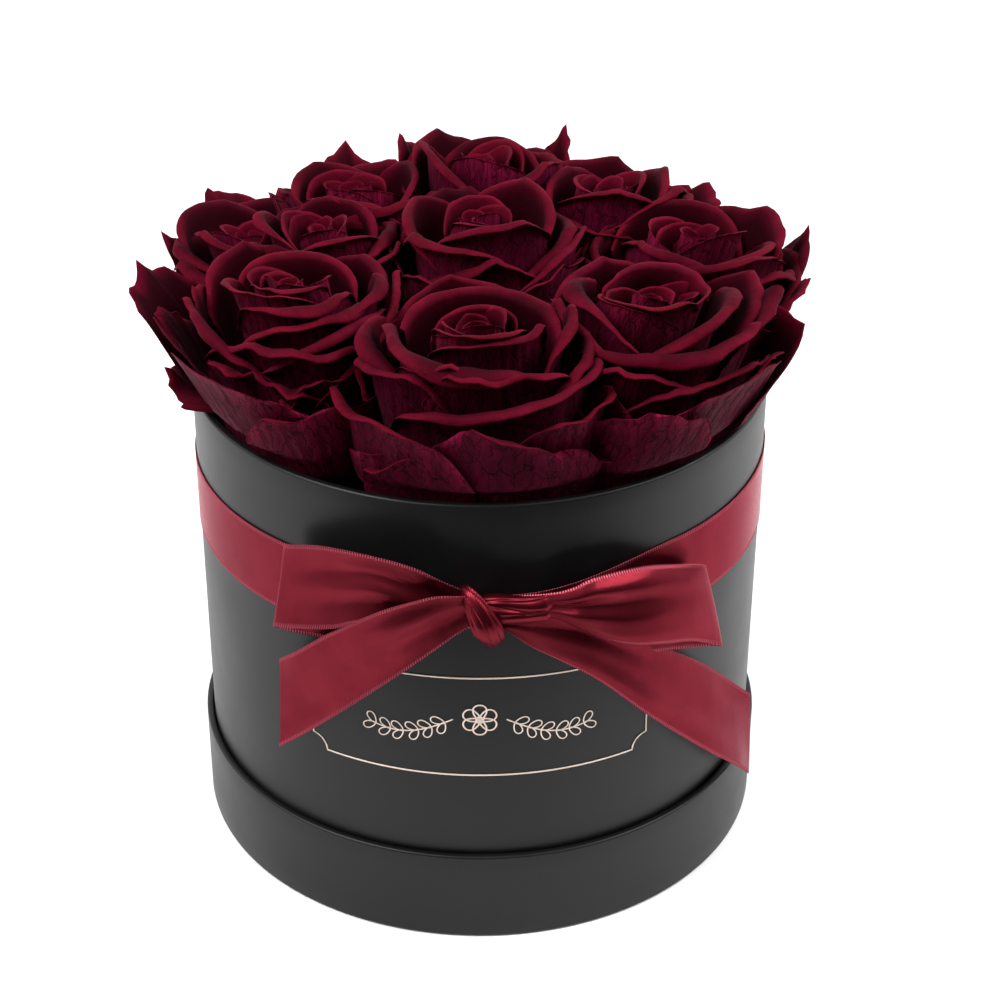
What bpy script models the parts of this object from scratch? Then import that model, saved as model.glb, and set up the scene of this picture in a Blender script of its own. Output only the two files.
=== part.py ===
"""Round flower box: a paper-covered hatbox standing in its own upturned lid, ten preserved roses
on stems in dry foam, and a satin ribbon tied around the box in a bow.

Frame: the box axis is Z, the table is z = 0, the bow faces -Y. Lengths in this file are in metres.
Every radius is built outward or inward from BODY_OUTER_R, and every height up from the table.
"""
import math

import bmesh
import bpy
from mathutils import Vector

for old in list(bpy.data.objects):
    bpy.data.objects.remove(old, do_unlink=True)

MM = 0.001
SEGMENTS = 72          # the same count and phase for every round part, so nested facets stay parallel
GAP = 0.3 * MM         # glue line or air between two pieces that touch in the real object
PAPER = 0.3 * MM       # covering paper

# --- box body: radii -----------------------------------------------------------------------
BODY_OUTER_R = 90.0 * MM
TUBE_OUTER_R = BODY_OUTER_R - PAPER - GAP
TUBE_WALL = 1.4 * MM
TUBE_INNER_R = TUBE_OUTER_R - TUBE_WALL
LINER_OUTER_R = TUBE_INNER_R - GAP
LINER_INNER_R = LINER_OUTER_R - PAPER

# --- lid: radii ------------------------------------------------------------------------------
LID_CLEARANCE = 0.5 * MM
LID_BOARD = 1.4 * MM
LID_RIM_INNER_R = BODY_OUTER_R + LID_CLEARANCE
LID_RIM_OUTER_R = LID_RIM_INNER_R + LID_BOARD
LID_PAPER_INNER_R = LID_RIM_OUTER_R + GAP
LID_PAPER_OUTER_R = LID_PAPER_INNER_R + PAPER
LID_PANEL_R = LID_RIM_INNER_R - GAP

# --- heights ---------------------------------------------------------------------------------
LID_TOP_PAPER_Z = (0.0, PAPER)
LID_PANEL_Z = (LID_TOP_PAPER_Z[1] + GAP, LID_TOP_PAPER_Z[1] + GAP + LID_BOARD)
LID_LINER_Z = (LID_PANEL_Z[1] + GAP, LID_PANEL_Z[1] + GAP + PAPER)
LID_HEIGHT = 31.5 * MM
LID_RIM_Z = (LID_PANEL_Z[0], LID_HEIGHT - PAPER - GAP)
BASE_PAPER_Z = (LID_LINER_Z[1] + GAP, LID_LINER_Z[1] + GAP + PAPER)
FLOOR_Z = (BASE_PAPER_Z[1] + GAP, BASE_PAPER_Z[1] + GAP + TUBE_WALL)
BODY_TOP_Z = 156.0 * MM
TUBE_TOP_Z = BODY_TOP_Z - PAPER - GAP
LINER_TOP_Z = TUBE_TOP_Z - 6.0 * MM
TURN_IN = 5.0 * MM     # how far the covering paper turns down inside the box rim

# --- foam and roses --------------------------------------------------------------------------
FOAM_R = LINER_INNER_R - 0.5 * MM
FOAM_Z = (FLOOR_Z[1] + GAP, 128.0 * MM)
STEM_R = 2.4 * MM
STEM_BOTTOM_Z = 76.0 * MM
STEM_TOP_Z = 141.0 * MM
HEAD_BOTTOM_Z = 145.0 * MM
STEM_SEGMENTS = 12
HEAD_SEGMENTS = 26
HEAD_GAP = 0.8 * MM
WALL_LIMIT_R = LINER_INNER_R - 1.0 * MM   # what a head may fill below the rim
CLEAR_RIM_Z = BODY_TOP_Z + 1.4 * MM
OVERHANG_R = 104.0 * MM                   # the farthest a petal spreads over the rim

# name, bud centre x, y, height of the bud, spread radius, turn of the petals
ROSES = (
    ("01", 0, -60, 202, 42, 10),
    ("02", -57, -32, 202, 40, 70),
    ("03", 51, -41, 201, 40, 130),
    ("04", 1, 9, 205, 33, 200),
    ("05", 69, 9, 199, 36, 250),
    ("06", 43, 45, 200, 31, 300),
    ("07", 2, 61, 203, 33, 350),
    ("08", -42, 50, 198, 32, 40),
    ("09", -51, 11, 201, 29, 90),
    ("10", -76, 31, 190, 31, 160),
)
STEM_INSET = 0.80      # stem position over bud position, so outer roses lean out over the rim

# --- ribbon ----------------------------------------------------------------------------------
RIBBON_WIDTH = 25.0 * MM
RIBBON_THICKNESS = 0.5 * MM
BAND_R = BODY_OUTER_R + GAP + RIBBON_THICKNESS / 2
BAND_SEGMENTS = SEGMENTS


def material(name, rgb, rough, metal=0.0):
    mat = bpy.data.materials.new(name)
    mat.use_nodes = True
    shader = mat.node_tree.nodes["Principled BSDF"]
    shader.inputs["Base Color"].default_value = (*rgb, 1.0)
    shader.inputs["Roughness"].default_value = rough
    shader.inputs["Metallic"].default_value = metal
    return mat


BLACK_PAPER = material("black_paper", (0.032, 0.032, 0.034), 0.75)
GREY_BOARD = material("grey_board", (0.35, 0.32, 0.28), 0.9)
FOAM = material("dry_foam", (0.12, 0.17, 0.10), 0.95)
PETAL = material("rose_petal", (0.13, 0.010, 0.030), 0.7)
STEM = material("stem_green", (0.07, 0.11, 0.035), 0.7)
SATIN = material("burgundy_satin", (0.25, 0.022, 0.042), 0.35)


def add(name, verts, faces, mat):
    """One closed object from vertices and faces, its normals turned outward."""
    mesh = bpy.data.meshes.new(name)
    mesh.from_pydata([tuple(v) for v in verts], [], faces)
    bm = bmesh.new()
    bm.from_mesh(mesh)
    bmesh.ops.recalc_face_normals(bm, faces=bm.faces)
    bm.to_mesh(mesh)
    bm.free()
    obj = bpy.data.objects.new(name, mesh)
    bpy.context.scene.collection.objects.link(obj)
    obj.data.materials.append(mat)
    return obj


def turn(i, count):
    return 2 * math.pi * i / count


def ring(name, profile, mat, count=SEGMENTS):
    """A closed (radius, z) outline swept around the box axis."""
    n = len(profile)
    verts = []
    for i in range(count):
        a = turn(i, count)
        verts += [(r * math.cos(a), r * math.sin(a), z) for r, z in profile]
    faces = []
    for i in range(count):
        k = (i + 1) % count
        faces += [(i * n + j, i * n + (j + 1) % n, k * n + (j + 1) % n, k * n + j) for j in range(n)]
    return add(name, verts, faces, mat)


def tube(name, r_in, r_out, z_low, z_high, mat):
    return ring(name, [(r_in, z_low), (r_out, z_low), (r_out, z_high), (r_in, z_high)], mat)


def disc(name, radius, z_low, z_high, mat, count=SEGMENTS):
    verts = [(radius * math.cos(turn(i, count)), radius * math.sin(turn(i, count)), z)
             for z in (z_low, z_high) for i in range(count)]
    faces = [(i, (i + 1) % count, count + (i + 1) % count, count + i) for i in range(count)]
    faces += [tuple(range(count)), tuple(range(count, 2 * count))]
    return add(name, verts, faces, mat)


def stacked(name, rings, mat, ends):
    """A lump from rings of equal length, closed by a point below the first and above the last."""
    n = len(rings[0])
    verts = [v for r in rings for v in r]
    faces = []
    for k in range(len(rings) - 1):
        faces += [(k * n + i, k * n + (i + 1) % n, (k + 1) * n + (i + 1) % n, (k + 1) * n + i)
                  for i in range(n)]
    low, high = len(verts), len(verts) + 1
    verts += list(ends)
    top = (len(rings) - 1) * n
    faces += [(low, (i + 1) % n, i) for i in range(n)]
    faces += [(high, top + i, top + (i + 1) % n) for i in range(n)]
    return add(name, verts, faces, mat)


# === lid, upturned under the box =============================================================
disc("lid_top_paper", LID_PANEL_R, *LID_TOP_PAPER_Z, BLACK_PAPER)
disc("lid_panel", LID_PANEL_R, *LID_PANEL_Z, GREY_BOARD)
disc("lid_liner_paper", LID_PANEL_R, *LID_LINER_Z, BLACK_PAPER)
tube("lid_rim", LID_RIM_INNER_R, LID_RIM_OUTER_R, *LID_RIM_Z, GREY_BOARD)
ring("lid_rim_paper", [
    (LID_PAPER_INNER_R, 0.0), (LID_PAPER_OUTER_R - PAPER, 0.0), (LID_PAPER_OUTER_R, PAPER),
    (LID_PAPER_OUTER_R, LID_HEIGHT - 0.5 * MM), (LID_PAPER_OUTER_R - 0.5 * MM, LID_HEIGHT),
    (LID_RIM_INNER_R, LID_HEIGHT), (LID_RIM_INNER_R, LID_HEIGHT - PAPER),
    (LID_PAPER_INNER_R, LID_HEIGHT - PAPER)], BLACK_PAPER)

# === box body ================================================================================
disc("body_base_paper", TUBE_OUTER_R, *BASE_PAPER_Z, BLACK_PAPER)
disc("body_floor", TUBE_INNER_R - GAP, *FLOOR_Z, GREY_BOARD)
tube("body_tube", TUBE_INNER_R, TUBE_OUTER_R, FLOOR_Z[0], TUBE_TOP_Z, GREY_BOARD)
ring("body_wrap_paper", [
    (TUBE_OUTER_R + GAP, BASE_PAPER_Z[0]), (BODY_OUTER_R, BASE_PAPER_Z[0]),
    (BODY_OUTER_R, BODY_TOP_Z - 0.5 * MM), (BODY_OUTER_R - 0.5 * MM, BODY_TOP_Z),
    (LINER_INNER_R + 0.3 * MM, BODY_TOP_Z), (LINER_INNER_R, BODY_TOP_Z - 0.3 * MM),
    (LINER_INNER_R, BODY_TOP_Z - TURN_IN), (LINER_OUTER_R, BODY_TOP_Z - TURN_IN),
    (LINER_OUTER_R, BODY_TOP_Z - PAPER), (TUBE_OUTER_R + GAP, BODY_TOP_Z - PAPER)], BLACK_PAPER)
tube("body_liner_paper", LINER_INNER_R, LINER_OUTER_R, FLOOR_Z[1] + GAP, LINER_TOP_Z, BLACK_PAPER)


# === foam block with a hole for each stem ====================================================
def stem_xy(rose):
    return rose[1] * STEM_INSET * MM, rose[2] * STEM_INSET * MM


foam = disc("floral_foam", FOAM_R, *FOAM_Z, FOAM)
for rose in ROSES:
    x, y = stem_xy(rose)
    bore = STEM_R + GAP
    hole = disc("cutter", bore, STEM_BOTTOM_Z - GAP, FOAM_Z[1] + 5 * MM, FOAM, STEM_SEGMENTS)
    hole.location = (x, y, 0)
    hole.hide_render = True
    hole.display_type = "WIRE"
    bpy.context.view_layer.update()
    cut = foam.modifiers.new("stem_hole", "BOOLEAN")
    cut.operation = "DIFFERENCE"
    cut.solver = "EXACT"
    cut.object = hole
    graph = bpy.context.evaluated_depsgraph_get()
    bored = bpy.data.meshes.new_from_object(foam.evaluated_get(graph))
    foam.modifiers.clear()
    foam.data = bored
    bpy.data.objects.remove(hole, do_unlink=True)

# === roses ===================================================================================
# height over the head's base, radius over the spread, depth of the petal lobes, lobe lift
OUTER = ((0.00, 0.30, 0.0, 0.0), (0.03, 0.68, 0.02, 0.0), (0.10, 0.98, 0.04, 0.0), (0.21, 1.06, 0.05, 0.0),
         (0.34, 1.08, 0.06, 0.0), (0.52, 1.07, 0.07, 0.02), (0.70, 1.06, 0.09, 0.05))
OUTER_LIP = ((0.735, 1.00, 0.08, 0.05), (0.64, 0.82, 0.05, 0.02))
MIDDLE = ((0.80, 0.79, 0.06, 0.03), (0.93, 0.75, 0.08, 0.04), (0.955, 0.69, 0.07, 0.04), (0.85, 0.60, 0.05, 0.0))
BUD = ((0.93, 0.56, 0.05, 0.0), (1.00, 0.49, 0.07, 0.02), (1.01, 0.41, 0.06, 0.02), (0.93, 0.31, 0.04, 0.0),
       (0.99, 0.26, 0.04, 0.0), (0.995, 0.17, 0.03, 0.0), (0.93, 0.09, 0.0, 0.0))


def lobe(angle, count, turn_deg):
    """0 at the seam between two petals, 1 at the middle of a petal."""
    return abs(math.sin(count / 2 * (angle + math.radians(turn_deg))))


def allowed(index, centre, z):
    """Limits (unit direction, distance) for the slice of a head at height z."""
    limits = []
    me = ROSES[index]
    for k, other in enumerate(ROSES):
        if k == index:
            continue
        share = axis_at(me, z)
        there = axis_at(other, z)
        gap = Vector((there[0] - share[0], there[1] - share[1]))
        far = gap.length
        limits.append((gap / far, far * me[4] / (me[4] + other[4]) - HEAD_GAP / 2))
    return limits


def axis_at(rose, z):
    """Centre of a head's slice: over the stem at the foot, over the bud at the top."""
    foot = stem_xy(rose)
    t = (z - HEAD_BOTTOM_Z) / (202 * MM - HEAD_BOTTOM_Z)
    t = min(max(t, 0.0), 1.1)
    return (foot[0] + (rose[1] * MM - foot[0]) * t, foot[1] + (rose[2] * MM - foot[1]) * t)


def wall_limit(z):
    if z <= CLEAR_RIM_Z:
        return WALL_LIMIT_R
    return min(OVERHANG_R, WALL_LIMIT_R + 2.2 * (z - CLEAR_RIM_Z))


def slice_point(index, angle, radius, z):
    """Pull a point in until it clears the neighbours' halves and the box wall."""
    cx, cy = axis_at(ROSES[index], z)
    ux, uy = math.cos(angle), math.sin(angle)
    for way, far in allowed(index, (cx, cy), z):
        reach = ux * way.x + uy * way.y
        if reach > 1e-6:
            radius = min(radius, max(far, 0.5 * MM) / reach)
    rim = wall_limit(z)
    along = cx * ux + cy * uy
    inside = along * along - (cx * cx + cy * cy - rim * rim)
    radius = min(radius, -along + math.sqrt(max(inside, 0.0)))
    return (cx + radius * ux, cy + radius * uy, z)


def head(index):
    tag, x, y, top, spread, spin = ROSES[index]
    height = top * MM - HEAD_BOTTOM_Z
    clear = (CLEAR_RIM_Z - HEAD_BOTTOM_Z) / height
    rings = []
    for part, petals in ((OUTER, 5), (OUTER_LIP, 5), (MIDDLE, 5), (BUD, 3)):
        for h, r, depth, lift in part:
            h = clear if part is OUTER and abs(h - 0.21) < 1e-6 else h
            row = []
            for i in range(HEAD_SEGMENTS):
                a = turn(i, HEAD_SEGMENTS)
                wave = lobe(a, petals, spin + (36 if part is MIDDLE else 0))
                radius = spread * MM * (r + depth * (wave - 0.5))
                z = HEAD_BOTTOM_Z + height * (h + lift * (wave - 0.6))
                row.append(slice_point(index, a, radius, z))
            rings.append(row)
    low = axis_at(ROSES[index], HEAD_BOTTOM_Z)
    high = axis_at(ROSES[index], top * MM)
    ends = ((low[0], low[1], HEAD_BOTTOM_Z - 0.5 * MM), (high[0], high[1], top * MM - 0.10 * height))
    stacked("rose_head_" + tag, rings, PETAL, ends)


def stem(index):
    """Stem, hip and the flared green cup under the petals."""
    tag = ROSES[index][0]
    x, y = stem_xy(ROSES[index])
    profile = ((STEM_BOTTOM_Z, STEM_R * 0.6), (STEM_BOTTOM_Z + 2 * MM, STEM_R), (FOAM_Z[1], STEM_R),
               (STEM_TOP_Z - 9 * MM, STEM_R * 1.05), (STEM_TOP_Z - 5 * MM, 4.4 * MM),
               (STEM_TOP_Z - 1 * MM, 4.8 * MM), (STEM_TOP_Z + 1 * MM, 7.0 * MM), (STEM_TOP_Z + 2.4 * MM, 9.0 * MM))
    rings = [[(x + r * math.cos(turn(i, STEM_SEGMENTS)), y + r * math.sin(turn(i, STEM_SEGMENTS)), z)
              for i in range(STEM_SEGMENTS)] for z, r in profile]
    ends = ((x, y, STEM_BOTTOM_Z), (x, y, STEM_TOP_Z + 2.8 * MM))
    stacked("rose_stem_" + tag, rings, STEM, ends)


for index in range(len(ROSES)):
    head(index)
    stem(index)


# === ribbon ==================================================================================
# A ribbon edge is a list of stations (angle from the front in degrees, + to the right; radius; z).
def station(angle, radius, z):
    a = math.radians(angle)
    return Vector((radius * MM * math.sin(a), -radius * MM * math.cos(a), z * MM))


def smooth(points, steps):
    """Catmull-Rom through the stations, `steps` pieces between two of them."""
    out = []
    last = len(points) - 1
    for k in range(last):
        p0, p1 = points[max(k - 1, 0)], points[k]
        p2, p3 = points[k + 1], points[min(k + 2, last)]
        for s in range(steps):
            t = s / steps
            out.append(0.5 * (2 * p1 + (p2 - p0) * t + (2 * p0 - 5 * p1 + 4 * p2 - p3) * t * t
                              + (3 * p1 - p0 - 3 * p2 + p3) * t ** 3))
    out.append(points[-1])
    return out


def ribbon(name, upper, lower, steps=4, closed=False):
    """A strip of ribbon between an upper and a lower edge, RIBBON_THICKNESS thick."""
    top = upper if closed else smooth([station(*p) for p in upper], steps)
    low = lower if closed else smooth([station(*p) for p in lower], steps)
    n = len(top)
    verts = []
    for i in range(n):
        ahead = (i + 1) % n if closed else min(i + 1, n - 1)
        back = (i - 1) % n if closed else max(i - 1, 0)
        along = (top[ahead] + low[ahead]) - (top[back] + low[back])
        out = along.cross(top[i] - low[i]).normalized() * RIBBON_THICKNESS / 2
        verts += [top[i] + out, top[i] - out, low[i] - out, low[i] + out]
    faces = []
    for i in range(n if closed else n - 1):
        k = (i + 1) % n
        faces += [(4 * i + j, 4 * i + (j + 1) % 4, 4 * k + (j + 1) % 4, 4 * k + j) for j in range(4)]
    if not closed:
        faces += [(0, 1, 2, 3), (4 * n - 4, 4 * n - 3, 4 * n - 2, 4 * n - 1)]
    return add(name, verts, faces, SATIN)


def eased(value, low, high):
    t = min(max((value - low) / (high - low), 0.0), 1.0)
    return t * t * (3 - 2 * t)


band_top, band_low = [], []
for i in range(BAND_SEGMENTS):
    a = 360.0 * i / BAND_SEGMENTS - 180.0
    pinch = 1 - eased(abs(a - 1), 6, 30)
    tilt = 1.2 * math.sin(math.radians(a))
    band_top.append(station(a, BAND_R / MM, 132.0 + tilt - 6.0 * pinch))
    band_low.append(station(a, BAND_R / MM, 107.0 + tilt + 8.0 * pinch))
ribbon("ribbon_band", band_top, band_low, closed=True)

ribbon("bow_loop_left",
       upper=((-7.8, 97.6, 129.6), (-16.0, 101.5, 135.5), (-24.0, 103.0, 138.5), (-31.5, 102.0, 139.8),
              (-36.2, 99.5, 139.2), (-37.8, 97.2, 138.0), (-36.8, 94.8, 136.6), (-31.0, 92.8, 134.5),
              (-20.0, 92.4, 131.5), (-8.2, 92.4, 127.0)),
       lower=((-7.8, 97.6, 119.0), (-16.0, 101.5, 114.5), (-24.0, 103.0, 113.5), (-31.5, 102.0, 113.6),
              (-36.4, 99.5, 113.4), (-38.2, 97.2, 112.6), (-37.0, 94.8, 111.4), (-31.0, 92.8, 109.5),
              (-20.0, 92.4, 110.5), (-8.2, 92.4, 116.5)))
ribbon("bow_loop_right",
       upper=((12.0, 97.6, 128.2), (21.0, 102.0, 131.0), (29.0, 104.0, 131.5), (36.0, 103.5, 131.0),
              (41.0, 101.5, 129.8), (43.2, 99.0, 128.2), (42.4, 96.4, 126.8), (35.0, 94.4, 125.5),
              (24.0, 93.8, 125.0), (12.6, 93.8, 124.5)),
       lower=((12.0, 97.6, 119.0), (21.0, 102.0, 113.0), (29.0, 104.0, 106.5), (37.0, 103.5, 104.5),
              (42.5, 101.5, 103.6), (45.2, 99.0, 102.6), (44.2, 96.4, 101.6), (36.0, 94.4, 101.2),
              (24.0, 93.8, 104.5), (12.6, 93.8, 114.5)))
ribbon("bow_tail_left",
       upper=((-8.6, 103.8, 130.6), (-13.0, 105.6, 128.2), (-18.0, 106.0, 124.0), (-25.0, 105.2, 116.2),
              (-32.0, 101.0, 106.0), (-38.7, 96.0, 93.7)),
       lower=((-8.6, 99.5, 113.0), (-12.2, 99.4, 107.0), (-16.0, 99.2, 101.0), (-22.5, 98.5, 90.5),
              (-30.0, 97.2, 76.5), (-39.9, 95.2, 58.8)))
ribbon("bow_tail_right",
       upper=((6.0, 92.0, 112.6), (12.0, 91.8, 113.6), (20.0, 91.8, 114.0), (30.0, 92.2, 105.5),
              (42.0, 93.2, 89.0), (52.0, 94.2, 73.5), (61.5, 95.6, 58.5)),
       lower=((4.0, 92.0, 110.6), (10.0, 92.2, 107.6), (15.5, 92.3, 102.6), (22.2, 92.6, 94.2),
              (33.0, 93.6, 76.5), (46.6, 94.8, 54.5), (66.0, 96.2, 23.0)))

# the knot: a waisted wrap with a slanting crease, a little wider to the right than to the left
KNOT_X = (-10.5, 18.0)
KNOT_COUNT = 20
knot_rings = []
for k in range(9):
    s = k / 8
    x = KNOT_X[0] + (KNOT_X[1] - KNOT_X[0]) * s
    swell = 0.55 + 0.45 * math.sin(math.pi * min(max(s, 0.04), 0.96)) ** 0.6
    mid_z = 121.8 + 2.2 * s - 3.2 * math.sin(math.pi * s)
    row = []
    for i in range(KNOT_COUNT):
        a = turn(i, KNOT_COUNT)
        crease = 1 - 0.10 * math.cos(3 * a + 5 * s) ** 2
        up = 8.4 * swell * math.sin(a) * crease
        deep = 5.6 * swell * math.cos(a) * crease
        base = 97.6 + 0.2 * math.sin(math.pi * s)
        row.append(((x - 0.25 * up) * MM, -(math.sqrt(base * base - x * x) + deep) * MM, (mid_z + up) * MM))
    knot_rings.append(row)
middle = [sum((Vector(p) for p in row), Vector()) / KNOT_COUNT for row in (knot_rings[0], knot_rings[-1])]
stacked("bow_knot", knot_rings, SATIN, (middle[0] - Vector((1.2 * MM, 0, 0)), middle[1] + Vector((1.2 * MM, 0, 0))))
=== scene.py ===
# %% [markdown]
# # A round flower box
# A paper-covered hatbox stands in its own upturned lid. Ten preserved roses fill its mouth, and a
# satin ribbon is tied around it in a bow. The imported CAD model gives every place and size. This
# file puts the looks on it: covering paper with rounded edges, woven satin, and roses made petal
# by petal.

# %% Load the frame
import math

import bpy
import numpy as np
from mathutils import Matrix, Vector


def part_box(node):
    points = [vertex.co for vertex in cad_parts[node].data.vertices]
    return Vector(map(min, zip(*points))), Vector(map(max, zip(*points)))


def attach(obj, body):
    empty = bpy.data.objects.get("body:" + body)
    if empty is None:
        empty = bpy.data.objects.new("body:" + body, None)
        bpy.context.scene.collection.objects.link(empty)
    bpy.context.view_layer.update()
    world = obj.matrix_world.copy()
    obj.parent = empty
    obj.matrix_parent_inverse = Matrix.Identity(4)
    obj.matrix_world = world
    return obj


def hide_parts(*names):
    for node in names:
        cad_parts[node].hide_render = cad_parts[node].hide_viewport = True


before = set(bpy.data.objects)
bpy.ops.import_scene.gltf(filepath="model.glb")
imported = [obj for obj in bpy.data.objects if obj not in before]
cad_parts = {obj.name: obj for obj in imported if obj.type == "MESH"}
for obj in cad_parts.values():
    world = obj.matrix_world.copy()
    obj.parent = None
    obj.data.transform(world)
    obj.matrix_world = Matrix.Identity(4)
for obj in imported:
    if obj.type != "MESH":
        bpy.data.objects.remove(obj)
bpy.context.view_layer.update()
MM = 0.001

# %% [markdown]
# ## Camera
# A long portrait lens from about 31 degrees above the table. It stands on the bow's side of the box,
# far enough away that the cylinder's sides stay nearly straight.

# %% Camera
LENS_MM, SENSOR_MM, LENS_SHIFT = 85.0, 36.0, (0.0202, 0.028)
CAMERA_AT = Vector((0.0, -660.86, 495.35)) * MM
LOOK_AT = Vector((0.0, 0.0, 94.1)) * MM

camera_data = bpy.data.cameras.new("studio_camera")
camera_data.lens = LENS_MM
camera_data.sensor_width = SENSOR_MM
camera_data.shift_x, camera_data.shift_y = LENS_SHIFT
camera = bpy.data.objects.new("studio_camera", camera_data)
camera.location = CAMERA_AT
camera.rotation_euler = (LOOK_AT - CAMERA_AT).to_track_quat("-Z", "Y").to_euler()
bpy.context.scene.collection.objects.link(camera)
bpy.context.scene.camera = camera
bpy.context.scene.view_settings.view_transform = "Standard"
print("camera is", round((LOOK_AT - CAMERA_AT).length, 3), "m away")

# %% [markdown]
# ## Light tent
# The box stands on white card inside a white tent, so soft light comes from above, behind and both
# sides. The tent is open in front, where it is dim, and that gives satin and petals their contrast.
# Dull black paper mirrors the bright card, and more of it at its sides. Two soft lamps above give the
# petals a lit side and a shaded one. The strength falls off smoothly as the direction d turns to the
# open side: strength = bright + (dim - bright) smoothstep(dot(d, open side)). The camera itself sees
# plain white. The floor card ends just in front of the object, outside the camera's view, so the dim
# side also shows in its low parts.

# %% Tent and lamps
TENT_BRIGHT, TENT_DIM, OPEN_SIDE = 1.25, 0.08, (0.18, -0.96, -0.20)
FALL_FROM, FALL_TO = 0.25, 0.75
WHITE = (1.0, 1.0, 1.0, 1.0)

world = bpy.data.worlds.new("white_tent")
world.use_nodes = True
tree = world.node_tree
direction = tree.nodes.new("ShaderNodeTexCoord").outputs["Generated"]
facing = tree.nodes.new("ShaderNodeVectorMath")
facing.operation = "DOT_PRODUCT"
facing.inputs[1].default_value = OPEN_SIDE
tree.links.new(direction, facing.inputs[0])
falloff = tree.nodes.new("ShaderNodeMapRange")
falloff.interpolation_type = "SMOOTHSTEP"
for k, value in enumerate((FALL_FROM, FALL_TO, TENT_BRIGHT, TENT_DIM)):
    falloff.inputs[k + 1].default_value = value
tree.links.new(facing.outputs["Value"], falloff.inputs[0])
tree.links.new(falloff.outputs[0], tree.nodes["Background"].inputs["Strength"])
seen = tree.nodes.new("ShaderNodeBackground")
seen.inputs["Color"].default_value = WHITE
choose = tree.nodes.new("ShaderNodeMixShader")
tree.links.new(tree.nodes.new("ShaderNodeLightPath").outputs["Is Camera Ray"], choose.inputs[0])
tree.nodes["Background"].inputs["Color"].default_value = WHITE
tree.links.new(tree.nodes["Background"].outputs[0], choose.inputs[1])
tree.links.new(seen.outputs[0], choose.inputs[2])
tree.links.new(choose.outputs[0], tree.nodes["World Output"].inputs["Surface"])
bpy.context.scene.world = world


def soft_lamp(name, place_mm, aim_mm, size_mm, watts):
    """A square area lamp at place_mm, turned to face aim_mm."""
    data = bpy.data.lights.new(name, "AREA")
    data.energy, data.size = watts, size_mm * MM
    lamp = bpy.data.objects.new(name, data)
    place, aim = Vector(place_mm) * MM, Vector(aim_mm) * MM
    lamp.location = place
    lamp.rotation_euler = (aim - place).to_track_quat("-Z", "Y").to_euler()
    bpy.context.scene.collection.objects.link(lamp)
    return lamp


soft_lamp("lamp_above_left", (-420, -260, 720), (0, -20, 150), 360, 5.0)
soft_lamp("lamp_above_right", (460, -60, 620), (0, 0, 150), 300, 3.4)
print("tent", TENT_BRIGHT, "to", TENT_DIM, "and two lamps")

# %% Floor card
floor_mesh = bpy.data.meshes.new("floor_card")
CARD_X, CARD_FRONT, CARD_BACK, CARD_Z = 2.5, -0.240, 3.0, -0.0002
card_corners = [(-CARD_X, CARD_FRONT, CARD_Z), (CARD_X, CARD_FRONT, CARD_Z),
                (CARD_X, CARD_BACK, CARD_Z), (-CARD_X, CARD_BACK, CARD_Z)]
floor_mesh.from_pydata(card_corners, [], [(0, 1, 2, 3)])
floor_card = bpy.data.objects.new("floor_card", floor_mesh)
bpy.context.scene.collection.objects.link(floor_card)

# %% [markdown]
# ## Meshes from grids
# Every new piece is a surface over two parameters, worked out as whole numpy arrays. A grid of
# points becomes four-sided faces by numbering its corners. A thin sheet, such as a petal or a
# ribbon, gets a front, a back and a rim, so that it is closed.

# %% Grid helpers
def grid_quads(rows, cols, wrap_rows=False, wrap_cols=False):
    """Corner numbers of the four-sided faces of a grid stored row by row. A wrapped side joins
    its last line to its first."""
    r = np.arange(rows if wrap_rows else rows - 1)[:, None]
    c = np.arange(cols if wrap_cols else cols - 1)[None, :]
    r_next, c_next = (r + 1) % rows, (c + 1) % cols
    corners = [r * cols + c, r * cols + c_next, r_next * cols + c_next, r_next * cols + c]
    return np.stack(np.broadcast_arrays(*corners), axis=-1).reshape(-1, 4)


def grid_normals(points, wrap_rows=False):
    """Unit normals of a grid: the way across (columns) crossed with the way up (rows)."""
    if wrap_rows:
        padded = np.concatenate([points[-1:], points, points[:1]])
        up = (padded[2:] - padded[:-2]) / 2
    else:
        up = np.gradient(points, axis=0)
    across = np.gradient(points, axis=1)
    normals = np.cross(across, up)
    return normals / np.maximum(np.linalg.norm(normals, axis=-1, keepdims=True), 1e-9)


def thick_sheet(points, thickness, wrap_rows=False):
    """A closed sheet: front = points + normal * t / 2, back = points - normal * t / 2, and a rim
    that joins them along every open side. Returns points, faces and the side (1 front, 0 back)."""
    rows, cols = points.shape[:2]
    offset = grid_normals(points, wrap_rows) * np.asarray(thickness)[..., None] / 2
    both = np.concatenate([(points + offset).reshape(-1, 3), (points - offset).reshape(-1, 3)])
    count = rows * cols
    front = grid_quads(rows, cols, wrap_rows)
    index = np.arange(count).reshape(rows, cols)
    if wrap_rows:
        edges = [(index[:, -1], np.roll(index[:, -1], -1)), (np.roll(index[:, 0], -1), index[:, 0])]
    else:
        loop = np.concatenate([index[0, :-1], index[:-1, -1], index[-1, :0:-1], index[:0:-1, 0]])
        edges = [(loop, np.roll(loop, -1))]
    rims = [np.stack([b, a, a + count, b + count], axis=-1) for a, b in edges]
    faces = np.concatenate([front, front[:, ::-1] + count, *rims])
    side = np.repeat([1.0, 0.0], count)
    return both, faces, side


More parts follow.
